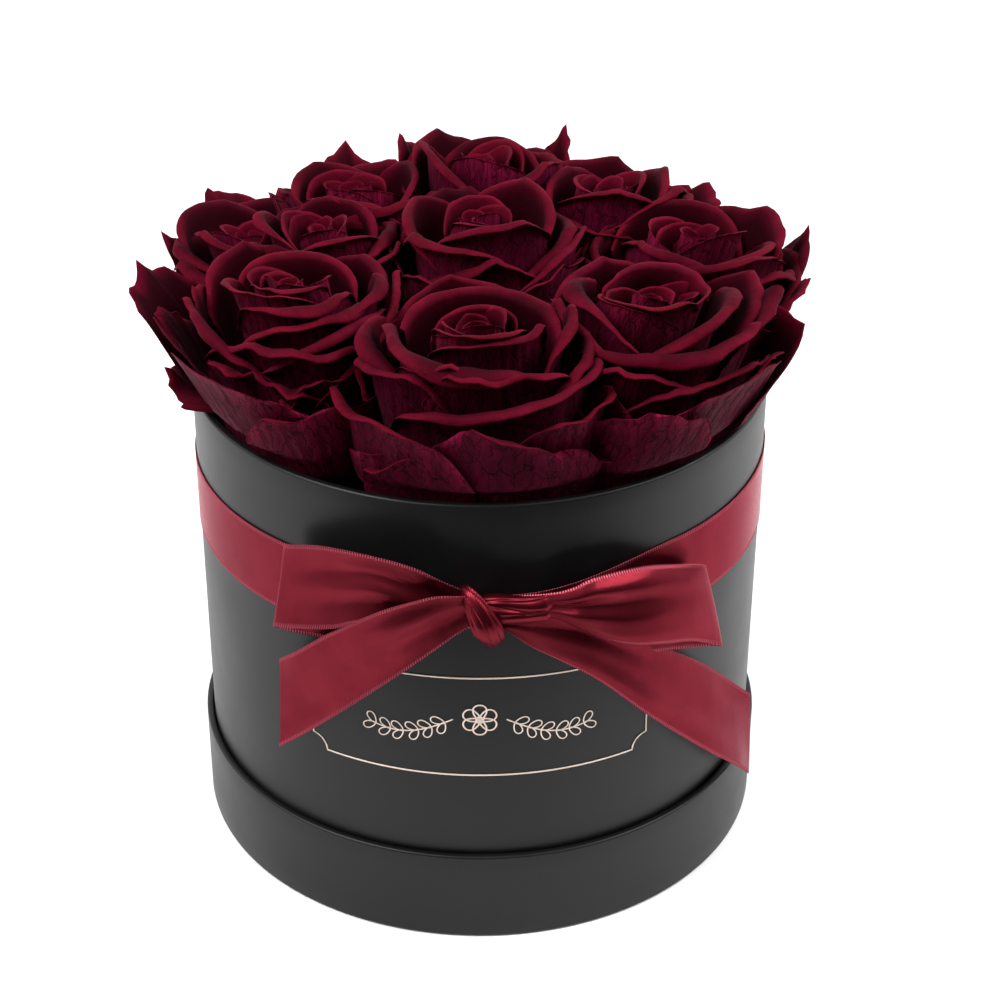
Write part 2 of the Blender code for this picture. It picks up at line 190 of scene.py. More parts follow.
def add_piece(name, points_mm, faces, finish, body, replaces=(), uv=None, marks=None, caps=()):
    """Make one object from points in millimetres. uv is one pair per point, marks one colour per
    point. caps are extra many-sided faces that close an end."""
    mesh = bpy.data.meshes.new(name)
    every_face = faces if not len(caps) else [*faces.tolist(), *caps]
    mesh.from_pydata(points_mm * MM, [], every_face)
    corner = np.empty(len(mesh.loops), dtype=np.int32)
    mesh.loops.foreach_get("vertex_index", corner)
    if uv is not None:
        layer = mesh.uv_layers.new(name="cloth")
        layer.data.foreach_set("uv", uv[corner].astype(np.float32).ravel())
    if marks is not None:
        colours = mesh.color_attributes.new("marks", "FLOAT_COLOR", "POINT")
        colours.data.foreach_set("color", marks.astype(np.float32).ravel())
    mesh.polygons.foreach_set("use_smooth", np.ones(len(mesh.polygons), dtype=bool))
    mesh.update()
    piece = bpy.data.objects.new(name, mesh)
    bpy.context.scene.collection.objects.link(piece)
    piece.data.materials.append(finish)
    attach(piece, body)
    if replaces:
        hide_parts(*replaces)
    print(f"{name}: {len(points_mm)} points, {len(mesh.polygons)} faces")
    return piece


# %% [markdown]
# ## Finishes
# Each finish is built from nodes. A small language keeps them readable: `Nodes.add` places a node,
# sets its plain values and links its inputs. Effects that several finishes share are node groups:
# fine paper grain, and the mottling that any plant or cloth has.

# %% Node helpers
class Nodes:
    """A thin layer over a node tree, so that a finish reads as a list of steps."""

    def __init__(self, tree):
        self.tree = tree

    def add(self, kind, settings=None, **inputs):
        node = self.tree.nodes.new("ShaderNode" + kind)
        for key, value in (settings or {}).items():
            setattr(node, key, value)
        for key, value in inputs.items():
            place = int(key[1:]) if key[1:].isdigit() else key.replace("_", " ")
            self.feed(node.inputs[place], value)
        return node

    def feed(self, socket, value):
        if isinstance(value, bpy.types.NodeSocket):
            self.tree.links.new(value, socket)
        elif isinstance(value, bpy.types.Node):
            self.tree.links.new(value.outputs[0], socket)
        else:
            socket.default_value = value

    def math(self, operation, a, b=0.0):
        return self.add("Math", {"operation": operation}, i0=a, i1=b).outputs[0]

    def times(self, a, b):
        return self.math("MULTIPLY", a, b)

    def plus(self, a, b):
        return self.math("ADD", a, b)

    def minus(self, a, b):
        return self.math("SUBTRACT", a, b)

    def mix(self, factor, a, b, blend="MIX"):
        node = self.add("Mix", {"data_type": "RGBA", "blend_type": blend}, i0=factor, i6=a, i7=b)
        return node.outputs[2]

    def tinted(self, tone, by):
        return self.mix(1.0, tone, by, blend="MULTIPLY")

    def between(self, value, low, high, to_low=0.0, to_high=1.0):
        return self.add("MapRange", {"interpolation_type": "SMOOTHSTEP"},
                        i0=value, i1=low, i2=high, i3=to_low, i4=to_high).outputs[0]

    def noise(self, vector, scale, detail=3.0, rough=0.5):
        node = self.add("TexNoise", Vector=vector, Scale=scale, Detail=detail, Roughness=rough)
        return node.outputs[0]


def colour(r, g, b):
    return (r, g, b, 1.0)


def new_group(name, inputs, outputs):
    """A shader node group with named sockets. inputs and outputs map a name to a socket kind."""
    tree = bpy.data.node_groups.new(name, "ShaderNodeTree")
    for label, (kind, default) in inputs.items():
        socket = tree.interface.new_socket(label, in_out="INPUT", socket_type="NodeSocket" + kind)
        if default is not None:
            socket.default_value = default
    for label, kind in outputs.items():
        tree.interface.new_socket(label, in_out="OUTPUT", socket_type="NodeSocket" + kind)
    n = Nodes(tree)
    return n, tree.nodes.new("NodeGroupInput"), tree.nodes.new("NodeGroupOutput")


def new_finish(name):
    """An empty material with its Principled BSDF. Returns the material, its nodes and the shader."""
    material = bpy.data.materials.new(name)
    material.use_nodes = True
    return material, Nodes(material.node_tree), material.node_tree.nodes["Principled BSDF"]


def set_shader(n, shader, **inputs):
    for key, value in inputs.items():
        n.feed(shader.inputs[key.replace("_", " ")], value)


def object_place(n):
    return n.add("TexCoord").outputs["Object"]


# %% [markdown]
# ### Grain
# Coated paper isn't flat: its fibres leave a fine felt about a third of a millimetre across, and a
# slower cloudiness where the sheet took the glue unevenly. The group gives both as values, and each
# finish decides how strongly it uses them.

# %% Grain group
n, grain_in, grain_out = new_group(
    "fibre_grain",
    {"Place": ("Vector", None), "Fine per m": ("Float", 2600.0), "Cloud per m": ("Float", 26.0)},
    {"Fine": "Float", "Cloud": "Float"})
for label, detail, rough in (("Fine", 2.0, 0.55), ("Cloud", 4.0, 0.6)):
    n.feed(grain_out.inputs[label],
           n.noise(grain_in.outputs["Place"], grain_in.outputs[label + " per m"], detail, rough))
GRAIN = n.tree


def grain(n, fine_per_m, cloud_per_m, place=None):
    node = n.add("Group", {"node_tree": GRAIN})
    n.feed(node.inputs["Place"], place or object_place(n))
    n.feed(node.inputs["Fine per m"], fine_per_m)
    n.feed(node.inputs["Cloud per m"], cloud_per_m)
    return node.outputs["Fine"], node.outputs["Cloud"]


# %% [markdown]
# ### Black covering paper
# Dull black paper with a slight tooth. Its roughness drifts a little with the cloudiness, which is
# what makes a large dark surface look like paper and not like plastic.

# %% Paper, board and floor finishes
def paper_finish(name, dark, light, rough_low, rough_high, bump=0.10, fine_per_m=2600.0):
    material, n, shader = new_finish(name)
    fine, cloud = grain(n, fine_per_m, 26.0)
    tone = n.mix(n.between(cloud, 0.3, 0.7), colour(*dark), colour(*light))
    relief = n.add("Bump", Strength=bump, Distance=0.0002, Height=fine)
    set_shader(n, shader, Base_Color=n.mix(n.times(fine, 0.30), tone, colour(*light)),
               Roughness=n.between(cloud, 0.25, 0.75, rough_low, rough_high), Normal=relief)
    return material, shader


BLACK_PAPER, shader = paper_finish("black_paper", (0.0035, 0.0035, 0.0037), (0.0062, 0.0062, 0.0066),
                                   0.36, 0.44)
shader.inputs["Specular IOR Level"].default_value = 0.24
GREY_BOARD, _ = paper_finish("grey_board", (0.26, 0.24, 0.21), (0.36, 0.33, 0.29), 0.85, 0.95, 0.4)
FLOOR_CARD, _ = paper_finish("white_card", (0.93, 0.93, 0.93), (0.96, 0.96, 0.96), 0.8, 0.9, 0.0, 300.0)
floor_mesh.materials.append(FLOOR_CARD)
print("paper finishes ready")

# %% [markdown]
# ## Covering paper on body and lid
# Both are turned shapes: a closed outline of radius and height, carried around the axis. The paper
# runs over the board's edge, so the outline has a small rounded corner there. A real covering is
# glued by hand, so the surface wanders by a tenth of a millimetre.

# %% Turned coverings
def arc_corner(centre, radius, start, end, steps=6):
    """Points of a rounded corner, by angle in degrees from +radius towards +height."""
    a = np.radians(np.linspace(start, end, steps))
    return np.stack([centre[0] + radius * np.cos(a), centre[1] + radius * np.sin(a)], axis=-1)


def dense(outline, longest):
    """Add points along the long straights of an outline so that no step exceeds `longest`."""
    out = [outline[0]]
    for a, b in zip(outline[:-1], outline[1:]):
        steps = max(1, int(math.ceil(np.linalg.norm(b - a) / longest)))
        out.extend(a + (b - a) * k / steps for k in range(1, steps + 1))
    return np.array(out)


SEGMENTS, WANDER_MM = 240, 0.07


def turned(outline, seed):
    """Carry (radius, height) points around Z: x = r cos a, y = r sin a. The radius wanders by a sum
    of slow waves around and up the wall."""
    a = np.linspace(0, 2 * math.pi, SEGMENTS, endpoint=False)[:, None]
    r, z = outline[:, 0][None, :], outline[:, 1][None, :]
    phase = np.random.default_rng(seed).uniform(0, 2 * math.pi, 4)
    waves = (np.sin(3 * a + phase[0] + z / 37) + 0.6 * np.sin(7 * a + phase[1] - z / 23)
             + 0.4 * np.sin(13 * a + phase[2] + z / 11))
    r = r + WANDER_MM * waves / 2 * np.clip(r / 80, 0, 1)
    return np.stack([r * np.cos(a), r * np.sin(a), z + 0 * a], axis=-1)


def turned_piece(name, outline, body, replaces, seed, closed=True):
    """An outline carried around the axis as one piece. A closed outline makes a ring. An open one
    starts and ends near the axis, and a flat cap closes each end."""
    points = turned(outline, seed)
    count = len(outline)
    faces = grid_quads(SEGMENTS, count, wrap_rows=True, wrap_cols=closed)[:, ::-1]
    ring = np.arange(SEGMENTS) * count
    caps = [] if closed else [ring[::-1].tolist(), (ring + count - 1).tolist()]
    return add_piece(name, points.reshape(-1, 3), faces, BLACK_PAPER, body, replaces, caps=caps)


def node_radius(node):
    low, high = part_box(node)
    return (high[0] - low[0]) / 2 / MM


BODY_R = node_radius("body_wrap_paper")
LID_R = node_radius("lid_rim_paper")
BODY_LOW, BODY_TOP = (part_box("body_wrap_paper")[k][2] / MM for k in (0, 1))
LID_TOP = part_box("lid_rim_paper")[1][2] / MM
LINER_R = BODY_R - 2.6
EDGE_R = 0.9

body_outline = dense(np.concatenate([
    arc_corner((BODY_R - 0.25, BODY_LOW + 0.25), 0.25, -90, 0),
    arc_corner((BODY_R - EDGE_R, BODY_TOP - EDGE_R), EDGE_R, 0, 90),
    arc_corner((LINER_R + EDGE_R, BODY_TOP - EDGE_R), EDGE_R, 90, 180),
    [(LINER_R, BODY_TOP - 9), (LINER_R + 0.25, BODY_TOP - 9), (LINER_R + 0.25, BODY_TOP - 1.4),
     (BODY_R - 0.3, BODY_TOP - 1.4), (BODY_R - 0.3, BODY_LOW)]]), 6.0)
turned_piece("body_covering", body_outline, "box", ["body_wrap_paper"], seed=3)

# %% Lid covering
LID_IN_R = BODY_R + 0.2
lid_outline = dense(np.concatenate([
    [(1.0, 0.0)],
    arc_corner((LID_R - 0.8, 0.8), 0.8, -90, 0),
    arc_corner((LID_R - 0.8, LID_TOP - 0.8), 0.8, 0, 90),
    arc_corner((LID_IN_R + 0.7, LID_TOP - 0.7), 0.7, 90, 180),
    [(LID_IN_R, 2.8), (LID_IN_R + 0.2, 2.8), (LID_IN_R + 0.2, LID_TOP - 0.5),
     (LID_R - 0.3, LID_TOP - 0.5), (LID_R - 0.3, 0.3), (1.0, 0.3)]]), 6.0)
turned_piece("lid_covering", lid_outline, "lid", ["lid_rim_paper", "lid_top_paper"], seed=8,
             closed=False)

# %% [markdown]
# ## Foil ornament
# Gift boxes often carry a thin hot-stamped ornament. Here it is a plain frame with scooped corners
# around a small flower between two leaf sprays. Each line is a flat strip of foil that follows the
# cylinder: a path drawn on the unrolled wall (along the wall, height) is given a width, then rolled
# back around the radius.

# %% Foil finish
FOIL, n, shader = new_finish("rose_gold_foil")
fine, cloud = grain(n, 3200.0, 90.0)
set_shader(n, shader, Base_Color=n.mix(cloud, colour(0.80, 0.62, 0.52), colour(0.92, 0.78, 0.70)),
           Metallic=0.35, Roughness=n.between(fine, 0.3, 0.7, 0.34, 0.5))

# %% Foil lines
FOIL_R = BODY_R + 0.16
FOIL_WIDE, FOIL_THICK = 0.55, 0.06


def rolled(flat, radius):
    """Roll points (along the wall, height, out) around the box: angle = along / radius, 0 at the
    front, so x = r sin a and y = -r cos a."""
    a = flat[..., 0] / BODY_R
    r = radius + flat[..., 2]
    return np.stack([r * np.sin(a), -r * np.cos(a), flat[..., 1]], axis=-1)


def foil_line(path, width=FOIL_WIDE, closed=False):
    """A strip of constant width about a path (along, height): edges = path +- side * width / 2,
    where side is the path's direction turned by a right angle."""
    if closed:
        way = np.roll(path, -1, axis=0) - np.roll(path, 1, axis=0)
    else:
        way = np.gradient(path, axis=0)
    way = way / np.linalg.norm(way, axis=1, keepdims=True)
    side = np.stack([-way[:, 1], way[:, 0]], axis=-1) * width / 2
    flat = np.stack([path - side, path + side], axis=1)
    flat = np.concatenate([flat, np.zeros_like(flat[..., :1])], axis=-1)
    return thick_sheet(rolled(flat, FOIL_R), np.full(flat.shape[:2], FOIL_THICK), wrap_rows=closed)[:2]


def loop_path(centre, long_r, wide_r, angle, steps=26):
    """A pointed leaf or petal outline with its foot at centre, pointing along angle."""
    t = np.linspace(0, 2 * math.pi, steps, endpoint=False)
    along, across = long_r * (1 - np.cos(t)), wide_r * np.sin(t) * (1.15 - 0.35 * np.cos(t))
    c, s = math.cos(angle), math.sin(angle)
    return np.stack([centre[0] + along * c - across * s, centre[1] + along * s + across * c], axis=-1)


SPRAY_STEPS = 40
FRAME_HALF, FRAME_LOW, FRAME_HIGH, SCOOP = 54.0, 61.5, 97.0, 5.0
scoops = []
for cx, cz, first in ((FRAME_HALF, FRAME_LOW, 180), (FRAME_HALF, FRAME_HIGH, 270),
                      (-FRAME_HALF, FRAME_HIGH, 0), (-FRAME_HALF, FRAME_LOW, 90)):
    scoops.append(arc_corner((cx, cz), SCOOP, first, first - 90, 12))
outline = np.concatenate(scoops)
lines = [foil_line(dense(np.concatenate([outline, outline[:1]]), 2.5)[:-1], closed=True)]
FLOWER_AT = (0.0, 82.0)
for k in range(6):
    leaf = loop_path(FLOWER_AT, 2.7, 1.7, math.radians(60 * k + 90))
    lines.append(foil_line(leaf, 0.5, closed=True))
turn = np.linspace(0, 2 * math.pi, 24, endpoint=False)
eye = np.stack([FLOWER_AT[0] + 1.1 * np.cos(turn), FLOWER_AT[1] + 1.1 * np.sin(turn)], -1)
lines.append(foil_line(eye, 0.5, closed=True))
for hand in (-1, 1):
    t = np.linspace(0, 1, SPRAY_STEPS)
    spray = np.stack([hand * (8.0 + 26.0 * t), FLOWER_AT[1] - 6.0 * np.sin(math.pi * t * 0.75)], axis=-1)
    lines.append(foil_line(spray, 0.45))
    for place in np.linspace(4, 36, 6).astype(int):
        way = spray[place + 1] - spray[place - 1]
        lean = math.atan2(way[1], way[0])
        for turn_by in (0.75, -0.75):
            lines.append(foil_line(loop_path(spray[place], 2.1, 1.0, lean + turn_by), 0.4, closed=True))


def joined(parts):
    """Several (points, faces) as one, with each part's corner numbers moved past the last."""
    points, faces, start = [], [], 0
    for p, f in parts:
        points.append(p)
        faces.append(f + start)
        start += len(p)
    return np.concatenate(points), np.concatenate(faces)


foil_points, foil_faces = joined(lines)
foil = add_piece("foil_ornament", foil_points, foil_faces, FOIL, "box")

# %% [markdown]
# ## Satin ribbon
# One ribbon, 25 mm wide. Its weave floats long threads over the face, so it shines, and the shine
# takes the thread's own red. Two woven selvedges run along the edges as rows of small ribs, with a
# painted highlight on each rib and painted shade between them. The pieces carry a UV map in
# millimetres (along, across), so weave and ribs follow every fold.

# %% Satin finish
RIBBON_MM, TWILL_MM, RIB_MM = 25.0, 0.62, 0.80
SATIN, n, shader = new_finish("burgundy_satin")
cloth = n.add("UVMap", {"uv_map": "cloth"}).outputs[0]
parts = n.add("SeparateXYZ", i0=cloth)
along, across = parts.outputs[0], parts.outputs[1]
twill_at = n.times(n.plus(along, n.times(across, 1.15)), 2 * math.pi / TWILL_MM)
twill = n.math("SINE", twill_at)
ribs = n.math("SINE", n.times(along, 2 * math.pi / RIB_MM))
from_edge = n.minus(RIBBON_MM / 2, n.math("ABSOLUTE", n.minus(across, RIBBON_MM / 2)))
selvedge = n.between(from_edge, 1.5, 0.7)
fine, cloud = grain(n, 900.0, 60.0)
thread = n.mix(n.between(cloud, 0.3, 0.7), colour(0.122, 0.0088, 0.0155), colour(0.178, 0.0145, 0.0240))
thread = n.mix(n.times(n.between(twill, -1.0, 1.0), 0.75), thread, colour(0.085, 0.0042, 0.0095))
# painted highlight on the rib crests and painted shade in the grooves between them
rib_painted_light_tone = n.mix(n.between(ribs, -0.6, 0.6), colour(0.090, 0.006, 0.012), colour(0.44, 0.085, 0.12))
height = n.plus(n.times(twill, n.minus(0.16, n.times(selvedge, 0.16))),
                n.times(n.times(ribs, selvedge), 0.9))
relief = n.add("Bump", Strength=0.85, Distance=0.00012, Height=height)
way = n.add("Tangent", {"direction_type": "UV_MAP", "uv_map": "cloth"})
set_shader(n, shader, Tangent=way, Metallic=0.82,
           Base_Color=n.mix(n.times(selvedge, 0.85), thread, rib_painted_light_tone),
           Roughness=n.plus(n.between(fine, 0.2, 0.8, 0.17, 0.24), n.times(selvedge, 0.2)),
           Normal=relief)
shader.inputs["Specular IOR Level"].default_value = 0.2
shader.inputs["Specular Tint"].default_value = colour(1.0, 0.50, 0.56)
shader.inputs["Anisotropic"].default_value = 0.6


# %% [markdown]
# ### How a ribbon is laid
# A ribbon is ruled between its two edges. Each edge is a smooth path through a few stations, given
# as an angle from the front, a radius and a height. Between the edges the cloth may belly out or
# gather into pleats: P = low + (top - low) t + out (belly 4t(1-t) + pleat sin(2 pi k t)).

# %% Ribbon helpers
def on_wall(angle, radius, z):
    a = np.radians(angle)
    return np.stack([radius * np.sin(a), -radius * np.cos(a), z + 0 * a], axis=-1)


def spline(stations, samples):
    """Catmull-Rom through the stations, sampled at even steps of the chord length."""
    p = np.asarray(stations, dtype=float)
    chord = np.maximum(np.linalg.norm(np.diff(p[:, :3], axis=0), axis=1), 1e-6)
    at = np.concatenate([[0], np.cumsum(chord)]) / chord.sum()
    p = np.concatenate([2 * p[:1] - p[1:2], p, 2 * p[-1:] - p[-2:-1]])
    t = np.linspace(0, 1, samples)
    k = np.clip(np.searchsorted(at, t, side="right") - 1, 0, len(at) - 2)
    f = ((t - at[k]) / (at[k + 1] - at[k]))[:, None]
    p0, p1, p2, p3 = p[k], p[k + 1], p[k + 2], p[k + 3]
    return 0.5 * (2 * p1 + (p2 - p0) * f + (2 * p0 - 5 * p1 + 4 * p2 - p3) * f ** 2
                  + (3 * p1 - p0 - 3 * p2 + p3) * f ** 3)


def ribbon_piece(name, top, low, belly, pleat, folds, replaces, flat_mm, held, rests_on, closed=False,
                 cols=49, seed=0, thickness=0.28, with_pieces=()):
    """A ribbon from its edge paths (rows x 3), with a belly and pleats in millimetres per row."""
    rows = len(top)
    t = np.concatenate([[0.0, 0.02], np.linspace(0.05, 0.95, cols - 4), [0.98, 1.0]])[None, :, None]
    surface = low[:, None] + (top - low)[:, None] * t
    if closed:
        along_way = np.roll(top + low, -1, axis=0) - np.roll(top + low, 1, axis=0)
    else:
        along_way = np.gradient(top + low, axis=0)
    out = np.cross(along_way, top - low)
    out /= np.linalg.norm(out, axis=1, keepdims=True)
    phase = np.random.default_rng(seed).uniform(0, 2 * math.pi, 3)
    s = np.linspace(0, 1, rows)[:, None]
    wave = (np.sin(2 * math.pi * folds * t[0, :, 0] + phase[0] + 2.2 * s)
            + 0.45 * np.sin(2 * math.pi * (folds * 1.7) * t[0, :, 0] + phase[1] - 3 * s))
    push = belly[:, None] * 4 * t[0, :, 0] * (1 - t[0, :, 0]) + pleat[:, None] * wave
    surface = surface + out[:, None] * push[..., None]
    middle = (top + low) / 2
    length = np.concatenate([[0], np.cumsum(np.linalg.norm(np.diff(middle, axis=0), axis=1))])
    uv = np.stack(np.broadcast_arrays(length[:, None], t[0, :, 0] * RIBBON_MM), axis=-1).reshape(-1, 2)
    points, faces, _ = thick_sheet(surface, np.full((rows, cols), thickness), wrap_rows=closed)
    piece = add_piece(name, points, faces, SATIN, "box", replaces, uv=np.concatenate([uv, uv]))
    return piece


def laid(stations, samples):
    """Stations (top angle, radius, z, low angle, radius, z, belly, pleat) as edge paths and folds."""
    st = np.asarray(stations, dtype=float)
    top_at, low_at = on_wall(st[:, 0], st[:, 1], st[:, 2]), on_wall(st[:, 3], st[:, 4], st[:, 5])
    folds = spline(np.concatenate([top_at, st[:, 6:8]], axis=1), samples)[:, 3:]
    return spline(top_at, samples), spline(low_at, samples), folds[:, 0], folds[:, 1]


# %% Band around the body
BAND_AT = BODY_R + 0.35
angles = np.linspace(-180, 180, 360, endpoint=False)
gather = np.clip((38 - np.abs(angles - 1)) / 31, 0, 1)
gather = gather ** 2 * (3 - 2 * gather)
lean = np.sin(np.radians(angles))
band_top = on_wall(angles, BAND_AT + 0.5 * gather, 132.2 + 1.4 * lean - 5.6 * gather)
band_low = on_wall(angles, BAND_AT + 0.5 * gather, 107.6 + 0.6 * lean + 7.4 * gather)
ribbon_piece("satin_band", band_top, band_low, 0.25 * gather, 0.30 * gather ** 2, 2.6, ["ribbon_band"],
             (RIBBON_MM, 2 * math.pi * BAND_AT), "stretched", ["body_covering"], closed=True, seed=1)

# %% [markdown]
# ### The knot
# The knot is two gathered folds of the same ribbon. One runs across, as the root of the right-hand
# loop. The other wraps over it on a slant and tightens it. A gathered fold is a tube around a path
# whose wall has sharp creases: radius = r (1 - c (1 - |sin(k a / 2 + twist s)|) ^ 3).

# %% Knot
def gathered(name, path, tall, deep, creases, twist, depth, seed, replaces=(), rows=70, cols=72):
    """A creased tube about a path of (x, radius, z) stations, closed at both ends."""
    st = np.asarray(path, dtype=float)
    xyz = np.stack([st[:, 0], -np.sqrt(st[:, 1] ** 2 - st[:, 0] ** 2), st[:, 2]], axis=-1)
    centre = spline(xyz, rows)
    way = np.gradient(centre, axis=0)
    way /= np.linalg.norm(way, axis=1, keepdims=True)
    outward = centre * [1, 1, 0]
    outward /= np.linalg.norm(outward, axis=1, keepdims=True)
    upward = np.cross(outward, way)
    upward /= np.linalg.norm(upward, axis=1, keepdims=True)
    outward = np.cross(way, upward)
    s = np.linspace(0, 1, rows)[:, None]
    a = np.linspace(0, 2 * math.pi, cols, endpoint=False)[None, :]
    phase = np.random.default_rng(seed).uniform(0, 2 * math.pi, 2)
    crease = (1 - np.abs(np.sin(creases * a / 2 + twist * s + phase[0]))) ** 3
    minor = (1 - np.abs(np.sin((creases + 2) * a / 2 - 0.6 * twist * s + phase[1]))) ** 4
    r = 1 - depth * crease - 0.5 * depth * minor
    end = np.clip(np.minimum(s, 1 - s) / 0.10, 0, 1) ** 0.5
    tall_s, deep_s = (spline(np.stack([np.linspace(0, 9, len(v)), v, v], -1), rows)[:, 1:2]
                      for v in (tall, deep))
    radius_up, radius_out = tall_s * r * (0.35 + 0.65 * end), deep_s * r * (0.35 + 0.65 * end)
    surface = (centre[:, None] + upward[:, None] * (np.sin(a) * radius_up)[..., None]
               + outward[:, None] * (np.cos(a) * radius_out)[..., None])
    faces = grid_quads(rows, cols, wrap_cols=True)
    uv = np.stack(np.broadcast_arrays(s * 26.0, 3.0 + 19.0 * (a / (2 * math.pi))), axis=-1).reshape(-1, 2)
    caps = [list(range(cols))[::-1], list(range((rows - 1) * cols, rows * cols))]
    check = np.cross(surface[rows // 2, 1] - surface[rows // 2, 0], way[rows // 2])
    if np.dot(check, surface[rows // 2, 0] - centre[rows // 2]) < 0:
        faces, caps = faces[:, ::-1], [c[::-1] for c in caps]
    return add_piece(name, surface.reshape(-1, 3), faces, SATIN, "box", replaces, uv=uv, caps=caps)


ROOT_PATH = ((-1, 95, 125.4), (5, 96.6, 125.8), (11, 97, 125.4), (16, 97, 125.2), (21, 97.2, 125.4))
WRAP_PATH = ((-5, 93.5, 131), (-2.6, 98.6, 130.2), (0.4, 101.4, 126), (2.4, 101.2, 121),
             (4.2, 98.2, 116), (5, 94, 114.4))
knot_root = gathered("bow_knot_root", ROOT_PATH, [3.4, 4.4, 4.3, 4.1, 4.6], [3.2, 4.0, 3.6, 3.0, 2.2],
                     3, 1.6, 0.26, seed=21)
knot_wrap = gathered("bow_knot_wrap", WRAP_PATH, [2.2, 3.0, 3.8, 4.4, 3.8, 2.6],
                     [1.6, 1.9, 2.1, 2.2, 1.9, 1.5], 3, 1.2, 0.24, seed=25, replaces=["bow_knot"])

# %% Loops of the bow
left_loop = laid((
    (-1, 95, 129.5, -1, 95.5, 121, 1.5, 0.5), (-5.7, 97, 134.4, -5.5, 97.5, 117.5, 1, 0.6),
    (-11.4, 99, 140.3, -11, 99.4, 116.5, 1.2, 0.7), (-19, 99, 142.2, -19.4, 101.2, 119.6, 2.2, 0.6),
    (-27.3, 98, 141, -25.2, 101.6, 115.6, 1.8, 0.3), (-34.4, 96.8, 137, -33.2, 101, 111, 0.9, 0.1),
    (-36.5, 95.6, 135.3, -37.7, 99.8, 108, 0.2, 0), (-36, 93.8, 132, -37.5, 96.6, 105.6, 0, 0),
    (-31.5, 92.6, 129.6, -33, 93.8, 104.8, 0, 0), (-22, 92.2, 129.5, -23, 92.6, 107.4, 0.1, 0.2),
    (-8, 92.3, 126.5, -8, 92.3, 115.5, 0.4, 0.4), (-2, 93.2, 125, -2, 93.2, 118, 0.4, 0.3)), 200)
ribbon_piece("satin_loop_left", *left_loop, 1.6, ["bow_loop_left"], (RIBBON_MM, 126.0), "folded",
             ["satin_band"], seed=4)
right_loop = laid((
    (3, 95, 129, 3, 95, 120, 1.5, 0.4), (11.9, 96.5, 129.8, 12, 96.5, 121.2, 2.2, 0.5),
    (15.9, 97.5, 131.3, 17.2, 98, 116.8, 2.2, 0.9), (19.6, 97.6, 133.4, 21.6, 100.4, 113, 2.6, 0.9),
    (28.6, 97.6, 133.2, 26, 102.2, 110.2, 2.8, 0.6), (36.8, 96.4, 128.6, 31.9, 103.2, 107.8, 2.4, 0.4),
    (42.6, 96.2, 124.6, 38, 102.5, 104, 0.5, 0), (44.9, 95, 121.6, 45.2, 102.5, 96.4, 0.2, 0),
    (44, 93.6, 120.6, 44.7, 99, 95.2, 0, 0), (36, 93.1, 121.5, 38, 95.2, 97.2, 0, 0),
    (24, 93, 124, 24, 93.4, 102, 0.1, 0.1), (12.6, 93, 125.5, 12.6, 93, 113, 0.4, 0.4),
    (5, 93.5, 125, 5, 93.5, 117, 0.4, 0.3)), 200)
ribbon_piece("satin_loop_right", *right_loop, 1.5, ["bow_loop_right"], (RIBBON_MM, 140.0), "folded",
             ["satin_band"], seed=9, with_pieces=[knot_root, knot_wrap])

# %% Tails of the bow
left_tail = laid((
    (-1, 99, 131.2, -0.5, 97, 121.5, 1.2, 0.4), (-6.4, 101.2, 132.2, -4.5, 98.5, 117.2, 1, 0.5),
    (-9.6, 102.2, 131, -6.6, 99.5, 114.3, 0.6, 0.5), (-16.2, 102.8, 125.6, -14, 100, 102.4, 0.9, 0.6),
    (-25.6, 101, 113.5, -24.6, 98.8, 84.6, 1.2, 0.5), (-33, 99, 102.2, -33.2, 97, 70.4, 1, 0.3),
    (-38.4, 96.6, 94.3, -39.7, 96.4, 60.3, 0.2, 0)), 130)
ribbon_piece("satin_tail_left", *left_tail, 1.3, ["bow_tail_left"], (RIBBON_MM, 92.0), "draped",
             ["satin_loop_left"], seed=14)
right_tail = laid((
    (2, 94.4, 119.5, 3.2, 94.6, 117.6, 0.4, 0.2), (6, 94.2, 121, 5.3, 94.6, 115.9, 0.5, 0.3),
    (11, 93.6, 120.8, 9.4, 94.2, 109.9, 0.6, 0.4), (18, 93.2, 118, 14.9, 95.6, 104.3, 0.8, 0.5),
    (25.5, 92.8, 110.8, 21.5, 96.6, 95.9, 0.9, 0.6), (35.2, 92.8, 99.2, 32.2, 98.4, 77.4, 1, 0.5),
    (45.6, 93.4, 86.1, 45, 99.4, 56, 1, 0.4), (54.5, 94.4, 72.6, 55.6, 99.2, 39.4, 0.8, 0.2),
    (62.2, 97.2, 60, 64.5, 97.4, 25.6, 0.2, 0)), 150)
ribbon_piece("satin_tail_right", *right_tail, 1.3, ["bow_tail_right"], (RIBBON_MM, 118.0), "draped",
             ["body_covering"], seed=17)


# %% [markdown]
# ## Rose petals
# Preserved petals are velvety. Their inner faces carry painted light and shade: crimson where the
# margin rolls into the light, and painted nearly black deep inside, where shade falls between the
# petals. Their backs are duller, browner and veined, with a painted highlight towards the margin
# and painted shade in their folds. Each point carries marks: red is 1 on the inner face, green
# rises to 1 at the margin and places the painted light, and blue is one chance value per petal.

# %% Petal finish
n, vein_in, vein_out = new_group("petal_veins", {"Place": ("Vector", None)},
                                 {"Vein": "Float", "Fold": "Float"})
warp = n.add("TexNoise", Vector=vein_in.outputs["Place"], Scale=0.35, Detail=2.0)
bent = n.add("VectorMath", {"operation": "MULTIPLY_ADD"}, i0=warp.outputs["Color"], i1=(1.5, 7.0, 0.0),
             i2=vein_in.outputs["Place"])
for label, stretch, wide in (("Vein", (0.95, 0.11, 1.0), 0.10), ("Fold", (0.42, 0.022, 1.0), 0.34)):
    scaled = n.add("VectorMath", {"operation": "MULTIPLY"}, i0=bent.outputs[0], i1=stretch)
    cells = n.add("TexVoronoi", {"feature": "DISTANCE_TO_EDGE", "voronoi_dimensions": "2D"},
                  Vector=scaled.outputs[0], Scale=1.0)
    n.feed(vein_out.inputs[label], n.between(cells.outputs["Distance"], 0.0, wide, 1.0, 0.0))
VEINS = n.tree

